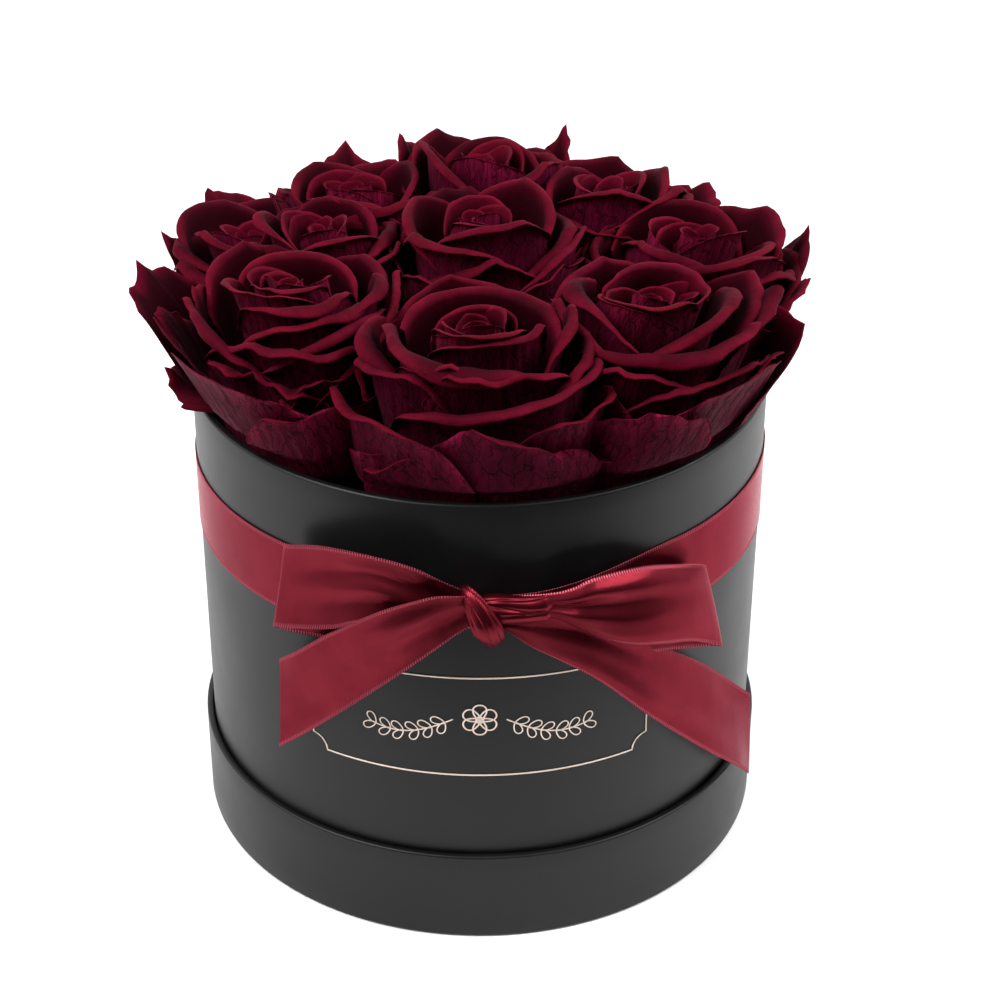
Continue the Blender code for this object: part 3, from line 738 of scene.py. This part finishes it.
PETAL, n, shader = new_finish("rose_petal")
marks = n.add("SeparateColor", Color=n.add("Attribute", {"attribute_name": "marks"}).outputs["Color"])
inner, margin, luck = (marks.outputs[k] for k in range(3))
veins = n.add("Group", {"node_tree": VEINS}, Place=n.add("UVMap", {"uv_map": "cloth"}).outputs[0])
fine, cloud = grain(n, 2400.0, 110.0)
lip = n.mix(n.between(cloud, 0.3, 0.7), colour(0.064, 0.0010, 0.0066), colour(0.114, 0.0026, 0.0124))
# painted light and shade on the inner face: nearly black deep inside, where shade falls between the petals,
# and the lip's crimson towards the margin, where the light falls
inner_painted_light_tone = n.mix(n.between(margin, 0.25, 1.0), colour(0.016, 0.0003, 0.0020), lip)
# painted highlight on the back: it lightens from a dull tone to a bright one towards the margin
back_painted_light_tone = n.mix(n.between(margin, 0.1, 0.95), colour(0.068, 0.0014, 0.0120),
                  colour(0.160, 0.0048, 0.0265))
vein_depth = n.times(veins.outputs["Vein"], n.between(cloud, 0.35, 0.6, 0.50, 0.95))
fibre_at = n.add("VectorMath", {"operation": "MULTIPLY"}, i0=n.add("UVMap", {"uv_map": "cloth"}).outputs[0],
                 i1=(3.2, 0.22, 1.0)).outputs[0]
fibre = n.noise(fibre_at, 1.0, 3.0, 0.6)
# painted shade in the back's long folds: the colour darkens along them
back_painted_light_tone = n.mix(n.times(veins.outputs["Fold"], 0.45), back_painted_light_tone, colour(0.026, 0.0009, 0.0050))
back_painted_light_tone = n.mix(vein_depth, back_painted_light_tone, colour(0.013, 0.0008, 0.003))
tone = n.mix(inner, back_painted_light_tone, inner_painted_light_tone)
dull_by = n.mix(inner, colour(0.74, 0.72, 0.74), colour(0.93, 0.93, 0.93))
bright_by = n.mix(inner, colour(1.20, 1.14, 1.18), colour(1.05, 1.04, 1.05))
tone = n.mix(n.between(fibre, 0.3, 0.7), n.tinted(tone, dull_by), n.tinted(tone, bright_by))
tone = n.mix(n.times(luck, 0.55), tone, n.tinted(tone, colour(0.90, 0.95, 1.25)))
tone = n.mix(n.between(fine, 0.55, 0.85, 0.0, 0.25), tone, n.tinted(tone, colour(1.5, 1.4, 1.4)))
vein_cut = n.times(veins.outputs["Vein"], n.minus(0.35, n.times(inner, 0.28)))
fold_cut = n.times(veins.outputs["Fold"], n.minus(0.75, n.times(inner, 0.62)))
height = n.minus(n.times(fine, 0.25), n.plus(vein_cut, fold_cut))
relief = n.add("Bump", Strength=0.55, Distance=0.0008, Height=height)
set_shader(n, shader, Base_Color=tone, Roughness=n.between(cloud, 0.3, 0.7, 0.60, 0.74), Normal=relief)
shader.inputs["Specular IOR Level"].default_value = 0.02
shader.inputs["Sheen Weight"].default_value = 0.030
shader.inputs["Sheen Roughness"].default_value = 0.38
shader.inputs["Sheen Tint"].default_value = colour(1.0, 0.34, 0.48)
print("petal finish ready")

# %% [markdown]
# ### One petal
# A petal is worked out in the rose's own frame, in millimetres: across u from -1 to 1, and up v from
# the foot to the margin. In the upright plane through the rose's axis it follows a cup and then
# rolls outward:
#
# - top(u) = height (1 - drop |u|^p + slant u) + tip exp(-|u - tip_at| / 0.13) + ruffle + nick, where p
#   sets its shape and nick is smoothed chance, like the small tears of a dried margin
# - reach(u) = reach (1 + tuck u), so one side lies inside its neighbour
# - cup: a cubic curve from the foot to the point (reach(u), top(u) - roll_r)
# - roll: P + roll_r (out (1 - cos a) + up sin a), with a from 0 to roll (1 - fade |u|^3)
#
# The angle around the axis is azimuth + half u w(v), narrow at the foot and full near the margin. The
# low outer petals start from a wider foot, so that no gap shows at the box's mouth.

# %% Petal shape
CUP_ROWS, ROLL_ROWS, ACROSS = 17, 10, 35
PETAL_THICK, FADE, TIP_WIDE = 0.32, 0.45, 0.13
LOW_PETAL, WIDER_FOOT, EDGE_GLOW_MM = 41, 0.42, 6.5
PETAL_PLAN = {"az": 0.0, "reach": 25.0, "height": 45.0, "half": 60.0, "roll": 170.0, "roll_r": 1.8,
              "drop": 0.4, "power": 2.3, "tip": 0.0, "tip_at": 0.0, "tuck": 0.0, "lean": 0.22,
              "crinkle": 0.0,
              "foot": 0.16, "slant": 0.0, "wave": 1.1, "oval": 0.0, "oval_at": 0.0, "aside": (0.0, 0.0),
              "loose": 0.0}


def petal_grid(rng, az, reach, height, half, roll, roll_r, drop, power, tip, tip_at, tuck, lean, crinkle,
               foot, slant, wave, oval, oval_at, aside):
    """Points of one petal as rows (foot to margin) x columns (u), in its rose's frame."""
    u = np.sin(np.linspace(-math.pi / 2, math.pi / 2, ACROSS))[None, :]
    v = np.linspace(0, 1, CUP_ROWS)[:, None]
    phase = rng.uniform(0, 2 * math.pi, 8)
    ruffle = crinkle * (np.sin(7 * u + phase[0]) + 0.8 * np.abs(np.sin(9 * u + phase[1]))
                        + 0.5 * np.sin(24 * u + phase[2]))
    chance = np.convolve(rng.normal(0, 1, ACROSS + 2), [0.25, 0.5, 0.25], "valid")[None, :]
    nick = chance * (0.20 + 0.70 * crinkle)
    top = (height * (1 - drop * np.abs(u) ** power + slant * u)
           + tip * np.exp(-np.abs(u - tip_at) / TIP_WIDE) + 0.5 * ruffle + nick)
    broad = reach * (1 + tuck * u) + wave * (np.sin(2.6 * u + phase[3]) + 0.5 * np.sin(5.1 * u + phase[4]))
    radius = roll_r * (1 - 0.35 * u ** 2) * (1 + 0.22 * np.sin(4.3 * u + phase[5]))
    foot = foot + WIDER_FOOT * np.clip((LOW_PETAL - height) / 8, 0, 1)
    b0, b1, b2, b3 = foot * reach, 1.04 * broad, broad - lean * top * 0.45, broad
    z0, z1, z2, z3 = 0 * top, -0.02 * top, 0.55 * top, top - radius
    w = 1 - v
    rho = b0 * w ** 3 + 3 * b1 * w ** 2 * v + 3 * b2 * w * v ** 2 + b3 * v ** 3
    z = z0 * w ** 3 + 3 * z1 * w ** 2 * v + 3 * z2 * w * v ** 2 + z3 * v ** 3
    bumps = wave * 0.5 * np.sin(3.1 * u + 4.0 * v + phase[6]) * v * (1 - 0.5 * v)
    rho = rho + bumps
    up_r, up_z = b3 - b2, z3 - z2
    size = np.hypot(up_r, up_z)
    up_r, up_z = up_r / size, up_z / size
    a = (np.linspace(0, 1, ROLL_ROWS + 1)[1:, None] ** 0.9
         * np.radians(roll) * (1 - FADE * np.abs(u) ** 3) * (1 + 0.16 * np.sin(3.7 * u + phase[7])))
    swell = radius * (1 + 0.25 * a / math.pi)
    roll_rho = rho[-1:] + swell * (up_z * (1 - np.cos(a)) + up_r * np.sin(a))
    roll_z = z3 + swell * (-up_r * (1 - np.cos(a)) + up_z * np.sin(a))
    rho, z = np.concatenate([rho, roll_rho]), np.concatenate([z, roll_z])
    rows = CUP_ROWS + ROLL_ROWS
    grow = np.concatenate([np.sin(np.minimum(v / 0.65, 1) * math.pi / 2), np.ones((ROLL_ROWS, 1))])
    climb = np.clip((np.arange(rows)[:, None] - CUP_ROWS * 0.6) / (rows - CUP_ROWS * 0.6), 0, 1)
    pleats = np.abs(np.sin(4.6 * u + phase[4])) + 0.6 * np.abs(np.sin(9.7 * u + phase[6])) - 1.0
    rho = rho + climb ** 3 * nick[:, ::-1] * 1.3
    rho = rho + climb ** 2 * ruffle + 1.1 * crinkle * pleats * (np.arange(rows)[:, None] / rows) ** 1.3
    phi = np.radians(az + half * u * (0.30 + 0.70 * grow))
    rho = rho * (1 + oval * np.cos(2 * (phi - math.radians(oval_at))))
    points = np.stack([rho * np.cos(phi) + aside[0], rho * np.sin(phi) + aside[1], z], axis=-1)
    steps = np.linalg.norm(np.diff(points, axis=0), axis=-1)
    along = np.concatenate([np.zeros((1, ACROSS)), np.cumsum(steps, axis=0)])
    # painted-light mask: 1 at the margin and along the side edges of the upper petal, falling off over
    # EDGE_GLOW_MM; the finish paints light there and shade further in
    painted_light_mask = np.exp(-(along[-1:] - along) / EDGE_GLOW_MM)
    painted_light_mask = np.maximum(painted_light_mask, np.exp(-(1 - np.abs(u)) * math.radians(half) * reach / 3.0) * climb)
    uv = np.stack(np.broadcast_arrays(u * 13.0 + 40 * phase[0], along + 10 * phase[1]), axis=-1)
    return points, painted_light_mask, uv, PETAL_THICK * (1 - 0.35 * climb) + 0 * u


# %% [markdown]
# ### Layers of a rose
# A rose is a tight bud, a dark gap, and then four or five layers that open further and stand lower.
# Each row gives the count, the azimuth of the first petal, and then the petal's numbers in the order
# of LAYER_KEYS. ROSES gives x and y of the head, the height of its top, its spread and its turn. The
# three front roses have petals of their own outside the bud, in the order of HERO_KEYS.

# %% Rose layers
LAYER_KEYS = ("reach", "height", "half", "roll", "roll_r", "drop", "tuck", "lean", "tip", "crinkle",
              "wave", "foot")
BUD = (
    (1, 20, 3.4, 51.5, 165, 40, 0.6, 0.08, 0.45, 0, 0, 0, 0.4, 0.5),
    (2, 110, 6.2, 52.5, 100, 65, 0.8, 0.14, 0.30, 0.05, 0, 0, 0.7, 0.5),
    (2, 35, 9.4, 53, 92, 75, 0.9, 0.18, 0.20, 0.06, 0, 0, 0.9, 0.45),
    (2, 75, 12.6, 53.5, 92, 95, 0.9, 0.17, 0.10, 0.08, 0, 0, 0.9, 0.4),
)
LAYERS = (
    (3, 88, 21.5, 54, 72, 160, 1.5, 0.24, 0.08, 0.10, 1.5, 0, 1.1),
    (3, 30, 26.5, 49.5, 68, 165, 1.7, 0.22, 0.06, 0.16, 2.5, 0.25, 1.3),
    (4, 62, 31.5, 45, 58, 155, 1.7, 0.26, 0.04, 0.24, 3, 0.5, 1.5),
    (4, 15, 37, 40, 54, 120, 1.7, 0.30, 0, 0.38, 3, 1.1, 1.6),
    (5, 50, 42, 31, 46, 50, 2.2, 0.42, 0, 0.60, 4, 1.5, 1.6),
)
FOOT_Z, HEAD_TALL, STEM_AT, NOD, BUD_R = 147.0, 55.0, 0.80, 0.17, 22.0
ROSES = {
    "01": (0, -60, 202, 42, 10), "02": (-57, -32, 202, 40, 70), "03": (51, -41, 201, 40, 130),
    "04": (1, 9, 205, 33, 200), "05": (69, 9, 199, 36, 250), "06": (43, 45, 200, 31, 300),
    "07": (2, 61, 203, 33, 350), "08": (-42, 50, 198, 32, 40), "09": (-51, 11, 201, 29, 90),
    "10": (-76, 31, 190, 31, 160)}
HERO_KEYS = ("az", "reach", "height", "half", "roll", "roll_r", "drop", "slant", "tip", "tip_at", "crinkle",
             "lean", "loose", "power")
HEROES = {
    "01": (
        (82, 21, 53.5, 84, 115, 2.6, 0.15, 0.02, 0, 0, 0.1, 0.14),
        (240, 25, 50.5, 70, 168, 2.6, 0.20, -0.08, 0, 0, 0.2, 0.12, 0, 7),
        (284, 17.5, 51.5, 70, 140, 1.4, 0.22, 0.02, 4, 0.70, 0.2, 0.08, 0, 6),
        (2, 25, 53, 46, 150, 1.5, 0.28, -0.05, 4, 0.15, 0.1, 0.16),
        (186, 30, 50, 46, 150, 2.1, 0.26, -0.06, 0, 0, 0.2, 0.20),
        (216, 32, 45, 42, 160, 1.7, 0.40, 0.04, 1.5, 0.4, 0.4, 0.18, 0, 5),
        (251, 28.5, 48, 42, 125, 1.3, 0.26, -0.02, 5, 0.05, 0.5, 0.12, 0, 4),
        (286, 30, 46.5, 46, 150, 1.5, 0.24, -0.03, 3.5, -0.70, 0.4, 0.12, 0, 5),
        (100, 28, 51, 66, 140, 1.5, 0.30, 0, 3, 0.1, 0.3, 0.20),
        (346, 31, 47.5, 42, 155, 2, 0.24, 0.02, 2, 0.3, 0.3, 0.18),
        (292, 35, 41, 68, 150, 2.2, 0.26, 0.09, 2, 0.7, 0.6, 0.18, 0, 7),
        (150, 34, 45, 50, 120, 1.5, 0.34, 0, 3, 0.2, 0.6, 0.36),
        (40, 34, 44, 50, 120, 1.5, 0.34, 0, 3, -0.2, 0.6, 0.36),
        (222, 44, 34, 46, 105, 1.6, 0.55, -0.06, 3, -0.80, 0.7, 0.24, 5, 5),
        (316, 42, 36, 40, 100, 1.6, 0.55, 0.05, 3, 0.75, 0.8, 0.22, 3, 5),
        (232, 42, 20, 36, 20, 1.2, 0.45, 0, 2, 0, 1.4, 0.16, 0.5, 3),
        (312, 42, 22, 36, 20, 1.2, 0.45, 0.05, 0, 0, 1.4, 0.16, 0.5, 3),
        (272, 44, 34, 54, 14, 1.3, 0.62, 0.05, 3.5, -0.14, 3, 0.16, 6, 1.5),
        (262, 14.2, 53.2, 76, 130, 1.3, 0.12, 0.02, 0, 0, 0.2, 0.04, 0, 6),
    ),
    "02": (
        (82, 16.5, 54.5, 86, 115, 1.8, 0.20, 0.02, 0, 0, 0, 0.14),
        (232, 16.5, 53, 80, 120, 1.3, 0.16, 0, 0, 0, 0.1, 0.10, 0, 5),
        (280, 19.5, 51.5, 70, 160, 1.7, 0.20, 0.05, 0, 0, 0.2, 0.10, 0, 5),
        (288, 24.5, 48.5, 56, 165, 1.8, 0.22, 0.06, 0, 0, 0.3, 0.12, 0, 5),
        (342, 25, 52, 52, 155, 1.5, 0.26, 0.05, 2, 0.4, 0.1, 0.16),
        (355, 32, 49.5, 40, 150, 1.6, 0.24, 0.03, 4, 0.4, 0.2, 0.22),
        (300, 29, 46, 54, 170, 1.6, 0.20, 0.12, 0, 0, 0.1, 0.14),
        (40, 26, 50.5, 60, 140, 1.5, 0.30, 0, 2, 0, 0.2, 0.20),
        (120, 27, 51, 60, 140, 1.5, 0.30, 0, 3, 0, 0.2, 0.20),
        (216, 30, 46, 46, 160, 1.5, 0.28, -0.12, 2, -0.6, 0.3, 0.16),
        (268, 32, 43, 54, 160, 1.9, 0.26, 0.02, 2, -0.3, 0.5, 0.16, 0, 5),
        (320, 35, 42, 44, 160, 1.5, 0.26, 0.12, 2, 0.3, 0.3, 0.20),
        (172, 29, 46, 44, 60, 1.4, 0.30, 0, 3, 0.1, 0.3, 0.08),
        (154, 58, 43, 27, 30, 1.8, 0.50, 0.05, 5, 0, 1.6, 1.25, 5),
        (178, 40, 38, 30, 60, 1.6, 0.45, 0.05, 4, 0, 1.8, 0.40),
        (246, 36, 36, 40, 120, 1.5, 0.34, 0, 4, -0.4, 2.3, 0.30),
        (294, 37, 35, 38, 100, 1.5, 0.34, 0, 4, 0.2, 2.3, 0.30),
        (188, 46, 38, 34, 60, 1.6, 0.40, 0.10, 5, -0.1, 0.9, 0.60),
        (240, 47, 37, 50, 20, 1.4, 0.55, -0.12, 2, -0.4, 1.5, 0.22, 3, 3.5),
        (284, 48, 30, 42, 25, 1.6, 0.50, 0, 2, 0, 1.4, 0.26, 6, 3.5),
        (172, 46, 17, 30, 40, 2, 0.30, 0, 4, 0.2, 1.6, 0.60, 14),
        (262, 12.2, 53.2, 74, 130, 1.2, 0.12, 0.02, 0, 0, 0.2, 0.04, 0, 6),
    ),
    "03": (
        (84, 15.5, 54.5, 88, 105, 1.4, 0.10, 0, 0, 0, 0.1, 0.10),
        (200, 21, 53.5, 64, 160, 2.2, 0.16, -0.08, 0, 0, 0.1, 0.12),
        (214, 28, 49, 50, 165, 1.8, 0.18, -0.10, 2, -0.5, 0.2, 0.16),
        (326, 22, 52.5, 60, 165, 2.2, 0.16, 0.08, 0, 0, 0.1, 0.12),
        (14, 28, 51, 50, 150, 1.7, 0.24, 0, 3, 0.2, 0.2, 0.18),
        (283, 31, 46, 66, 165, 2.4, 0.25, 0.02, 3, 0.80, 0.4, 0.14, 0, 7),
        (120, 26, 51, 62, 140, 1.5, 0.30, 0, 3, 0, 0.2, 0.20),
        (356, 33, 50, 42, 140, 1.6, 0.26, 0, 5, 0.1, 0.3, 0.26),
        (198, 33, 46, 44, 140, 1.4, 0.30, -0.10, 3, -0.3, 0.5, 0.24),
        (60, 31, 47, 52, 130, 1.5, 0.34, 0, 4, 0.2, 0.6, 0.34),
        (262, 36.5, 41, 42, 150, 1.4, 0.26, -0.04, 4, -0.2, 0.9, 0.20),
        (304, 38, 38, 44, 150, 1.8, 0.16, 0.04, 3, -0.5, 0.8, 0.20),
        (12, 50, 35, 44, 25, 1.3, 0.16, 0.24, 4, -0.1, 0.7, 0.72, 6),
        (338, 41, 34, 38, 90, 1.6, 0.40, 0, 3, 0, 1.6, 0.40, 3),
        (308, 48, 38, 44, 60, 1.9, 0.55, 0.06, 4, 0.3, 1.5, 0.30, 3, 3.5),
        (244, 41, 36, 34, 40, 1.4, 0.42, 0, 4, 0.3, 1.2, 0.26),
        (262, 48, 33, 42, 30, 1.4, 0.55, 0.10, 3, 0.2, 1.5, 0.22, 6, 3.5),
        (350, 46, 26, 40, 60, 1.6, 0.40, 0, 3, 0.2, 1.6, 0.60),
        (258, 14.6, 53, 78, 130, 1.4, 0.10, 0, 0, 0, 0.2, 0.04, 0, 6),
    )}
BUD_WIDE = {"01": 1.0, "02": 0.80, "03": 1.12}
TIPS = {
    "05": ((8, 40, 44, 30, 40, 2, 0.50, 0, 6, 0.2, 1, 0.8),
           (330, 39, 38, 38, 60, 2, 0.42, 0, 4, 0.2, 1, 0.7)),
    "07": ((38, 32, 50.5, 28, 40, 1.5, 0.48, 0, 4, 0.1, 1.2, 0.3),
           (145, 34, 50, 36, 60, 2, 0.45, 0, 5, 0.1, 0.8, 0.5)),
    "08": ((100, 33, 43.5, 40, 60, 2, 0.40, 0, 4, -0.1, 1.2, 0.6),
           (165, 34, 40, 38, 50, 2, 0.45, 0, 5, 0.2, 1.2, 0.6)),
    "10": ((180, 36, 38, 38, 60, 2, 0.45, 0, 5, 0.2, 1, 0.8),
           (115, 34, 42, 38, 50, 2, 0.45, 0, 5, 0.2, 1, 0.7)),
    "06": ((20, 35, 41.5, 40, 60, 2, 0.40, 0, 4, 0.2, 1.2, 0.6),)}


def stand(grid, x, y):
    """Put a petal into the world. The rose's axis leans from its stem at STEM_AT (x, y) out to (x, y)
    at the top, so every point moves by (1 - STEM_AT) (x, y) z / HEAD_TALL as well. The bud nods
    back a little: z rises by -NOD y / (1 + (r / BUD_R)^2) z / HEAD_TALL."""
    lean = np.array([x, y, 0.0]) * (1 - STEM_AT) / HEAD_TALL
    spread_sq = (grid[..., 0] / BUD_R) ** 2 + (grid[..., 1] / BUD_R) ** 2
    nod = -NOD * grid[..., 1] / (1 + spread_sq) * grid[..., 2] / HEAD_TALL
    return grid + grid[..., 2:] * lean + [x * STEM_AT, y * STEM_AT, FOOT_Z] + nod[..., None] * [0, 0, 1]


def room(points, tag, loose=0.0):
    """Press a rose's points back towards its axis, away from its neighbours and the wall. With c_j the
    distance towards neighbour j, m_j the room there, and c / m the same for the wall, the distance
    from the axis is multiplied by (1 + sum (c_j / m_j)^8 + (c / m)^10) ^ (-1/9). This holds a rose in
    its place but doesn't part the roses: the rooms of two neighbours overlap, and the limit is soft,
    so their outer petals still cross."""
    x, y, _, spread, _ = ROSES[tag]
    foot = np.array([x, y]) * STEM_AT
    top = np.array([x, y])
    z = points[..., 2]
    level = np.clip((z - FOOT_Z) / HEAD_TALL, 0, 1)[..., None]
    axis = foot * (1 - level) + top * level
    away = points[..., :2] - axis
    total = np.zeros_like(z)
    for other, (ox, oy, _, other_spread, _) in ROSES.items():
        if other == tag:
            continue
        gap = np.array([ox - x, oy - y], dtype=float)
        distance = np.linalg.norm(gap)
        if distance > spread + other_spread + 8:
            continue
        share = distance * spread / (spread + other_spread)
        share = share * (1.04 + 0.12 * level[..., 0]) + 0.8 * loose
        share = share * (STEM_AT + (1 - STEM_AT) * level[..., 0])
        total += np.clip((away @ (gap / distance)) / share, 0, None) ** 8
    wall = np.interp(z, [150, 157, 162, 170, 180, 188, 210],
                     [86.4, 86.6, 89.0, 93.0, 98.5, 105.0, 109.0])
    wall = wall + loose * np.clip((z - 157.5) / 4.0, 0, 1)
    length = np.maximum(np.linalg.norm(away, axis=-1), 1e-6)
    toward = away / length[..., None]
    b = (toward * axis).sum(-1)
    reach = -b + np.sqrt(np.maximum(b ** 2 + wall ** 2 - (axis ** 2).sum(-1), 1.0))
    total += (length / reach) ** 10
    away = away * ((1 + total) ** (-1 / 9.0))[..., None]
    return np.concatenate([axis + away, z[..., None]], axis=-1)


def rose_parts(tag):
    """All petals of one rose, in world millimetres: points, faces, uv and marks."""
    x, y, top, spread, turn = ROSES[tag]
    rng = np.random.default_rng(900 + int(tag))
    tall = (top - FOOT_Z) / HEAD_TALL
    wide = spread / 38.0
    plans = []
    for layer, (count, first, *shape) in enumerate(BUD if tag in HEROES else BUD + LAYERS):
        in_bud = layer < len(BUD)
        for k in range(count):
            plan = dict(PETAL_PLAN, **dict(zip(LAYER_KEYS, shape)))
            plan["az"] = first + turn + 360.0 * k / count + rng.uniform(-16, 16)
            broad = BUD_WIDE.get(tag, 0.5 + 0.5 * wide) if in_bud else wide
            plan["reach"] *= broad * (1 + 0.04 * k) * rng.uniform(0.96, 1.05)
            plan["height"] *= tall * (rng.uniform(0.97, 1.01) if in_bud else rng.uniform(0.94, 1.05))
            plan["roll"] *= rng.uniform(0.8, 1.12)
            plan["tip"] *= rng.uniform(0.0, 1.5)
            plan["tip_at"] = rng.uniform(-0.35, 0.35)
            plan["slant"] = rng.uniform(-0.03, 0.03) if in_bud else rng.uniform(-0.10, 0.10)
            if in_bud:
                plan["drop"] *= rng.uniform(0.7, 1.5)
                plan["oval"], plan["oval_at"] = 0.12, 70.0 * int(tag)
                plan["aside"] = rng.uniform(-1.0, 1.0, 2) * (2.2 if layer < 2 else 1.2)
            plans.append(plan)
    for row in HEROES.get(tag, ()) + TIPS.get(tag, ()):
        plans.append(dict(PETAL_PLAN, **dict(zip(HERO_KEYS, row))))
    meshes, uvs, marks = [], [], []
    for plan in plans:
        loose = plan.pop("loose")
        grid, painted_light_mask, uv, thick = petal_grid(rng, **plan)
        world = room(stand(grid, x, y), tag, loose)
        points, faces, side = thick_sheet(world, thick)
        meshes.append((points, faces))
        uvs.append(np.concatenate([uv.reshape(-1, 2)] * 2))
        # the mask for the painted light and shade goes into the green of the marks
        painted_light_marks = np.concatenate([painted_light_mask.ravel()] * 2)
        luck = np.full_like(painted_light_marks, rng.uniform())
        marks.append(np.stack([1 - side, painted_light_marks, luck, np.ones_like(painted_light_marks)], axis=-1))
    return *joined(meshes), np.concatenate(uvs), np.concatenate(marks)


# %% Ten roses
for tag in ROSES:
    points, faces, uv, marks = rose_parts(tag)
    add_piece(f"rose_{tag}", points, faces, PETAL, "box", [f"rose_head_{tag}"], uv=uv, marks=marks)

# %% [markdown]
# ## Finishes for the parts kept from the CAD model
# Board, liners, foam and stems keep their CAD shape. Each gets its own finish.

# %% Foam and stem finishes
FOAM, n, shader = new_finish("dry_foam")
fine, cloud = grain(n, 1400.0, 60.0)
set_shader(n, shader, Base_Color=n.mix(fine, colour(0.035, 0.075, 0.035), colour(0.075, 0.14, 0.065)),
           Roughness=0.95, Normal=n.add("Bump", Strength=0.6, Distance=0.0006, Height=fine))
STEM, n, shader = new_finish("stem_green")
fine, cloud = grain(n, 1800.0, 140.0)
set_shader(n, shader, Base_Color=n.mix(cloud, colour(0.035, 0.060, 0.018), colour(0.085, 0.110, 0.040)),
           Roughness=n.between(fine, 0.3, 0.7, 0.5, 0.7))

KEPT = ((GREY_BOARD, ["body_tube", "body_floor", "lid_panel", "lid_rim"]),
        (BLACK_PAPER, ["body_base_paper", "body_liner_paper", "lid_liner_paper"]),
        (FOAM, ["floral_foam"]),
        (STEM, [f"rose_stem_{tag}" for tag in ROSES]))
for finish, nodes in KEPT:
    for name in nodes:
        mesh = bpy.data.objects[name].data
        mesh.materials.clear()
        mesh.materials.append(finish)
print("kept nodes:", sum(len(nodes) for _, nodes in KEPT))
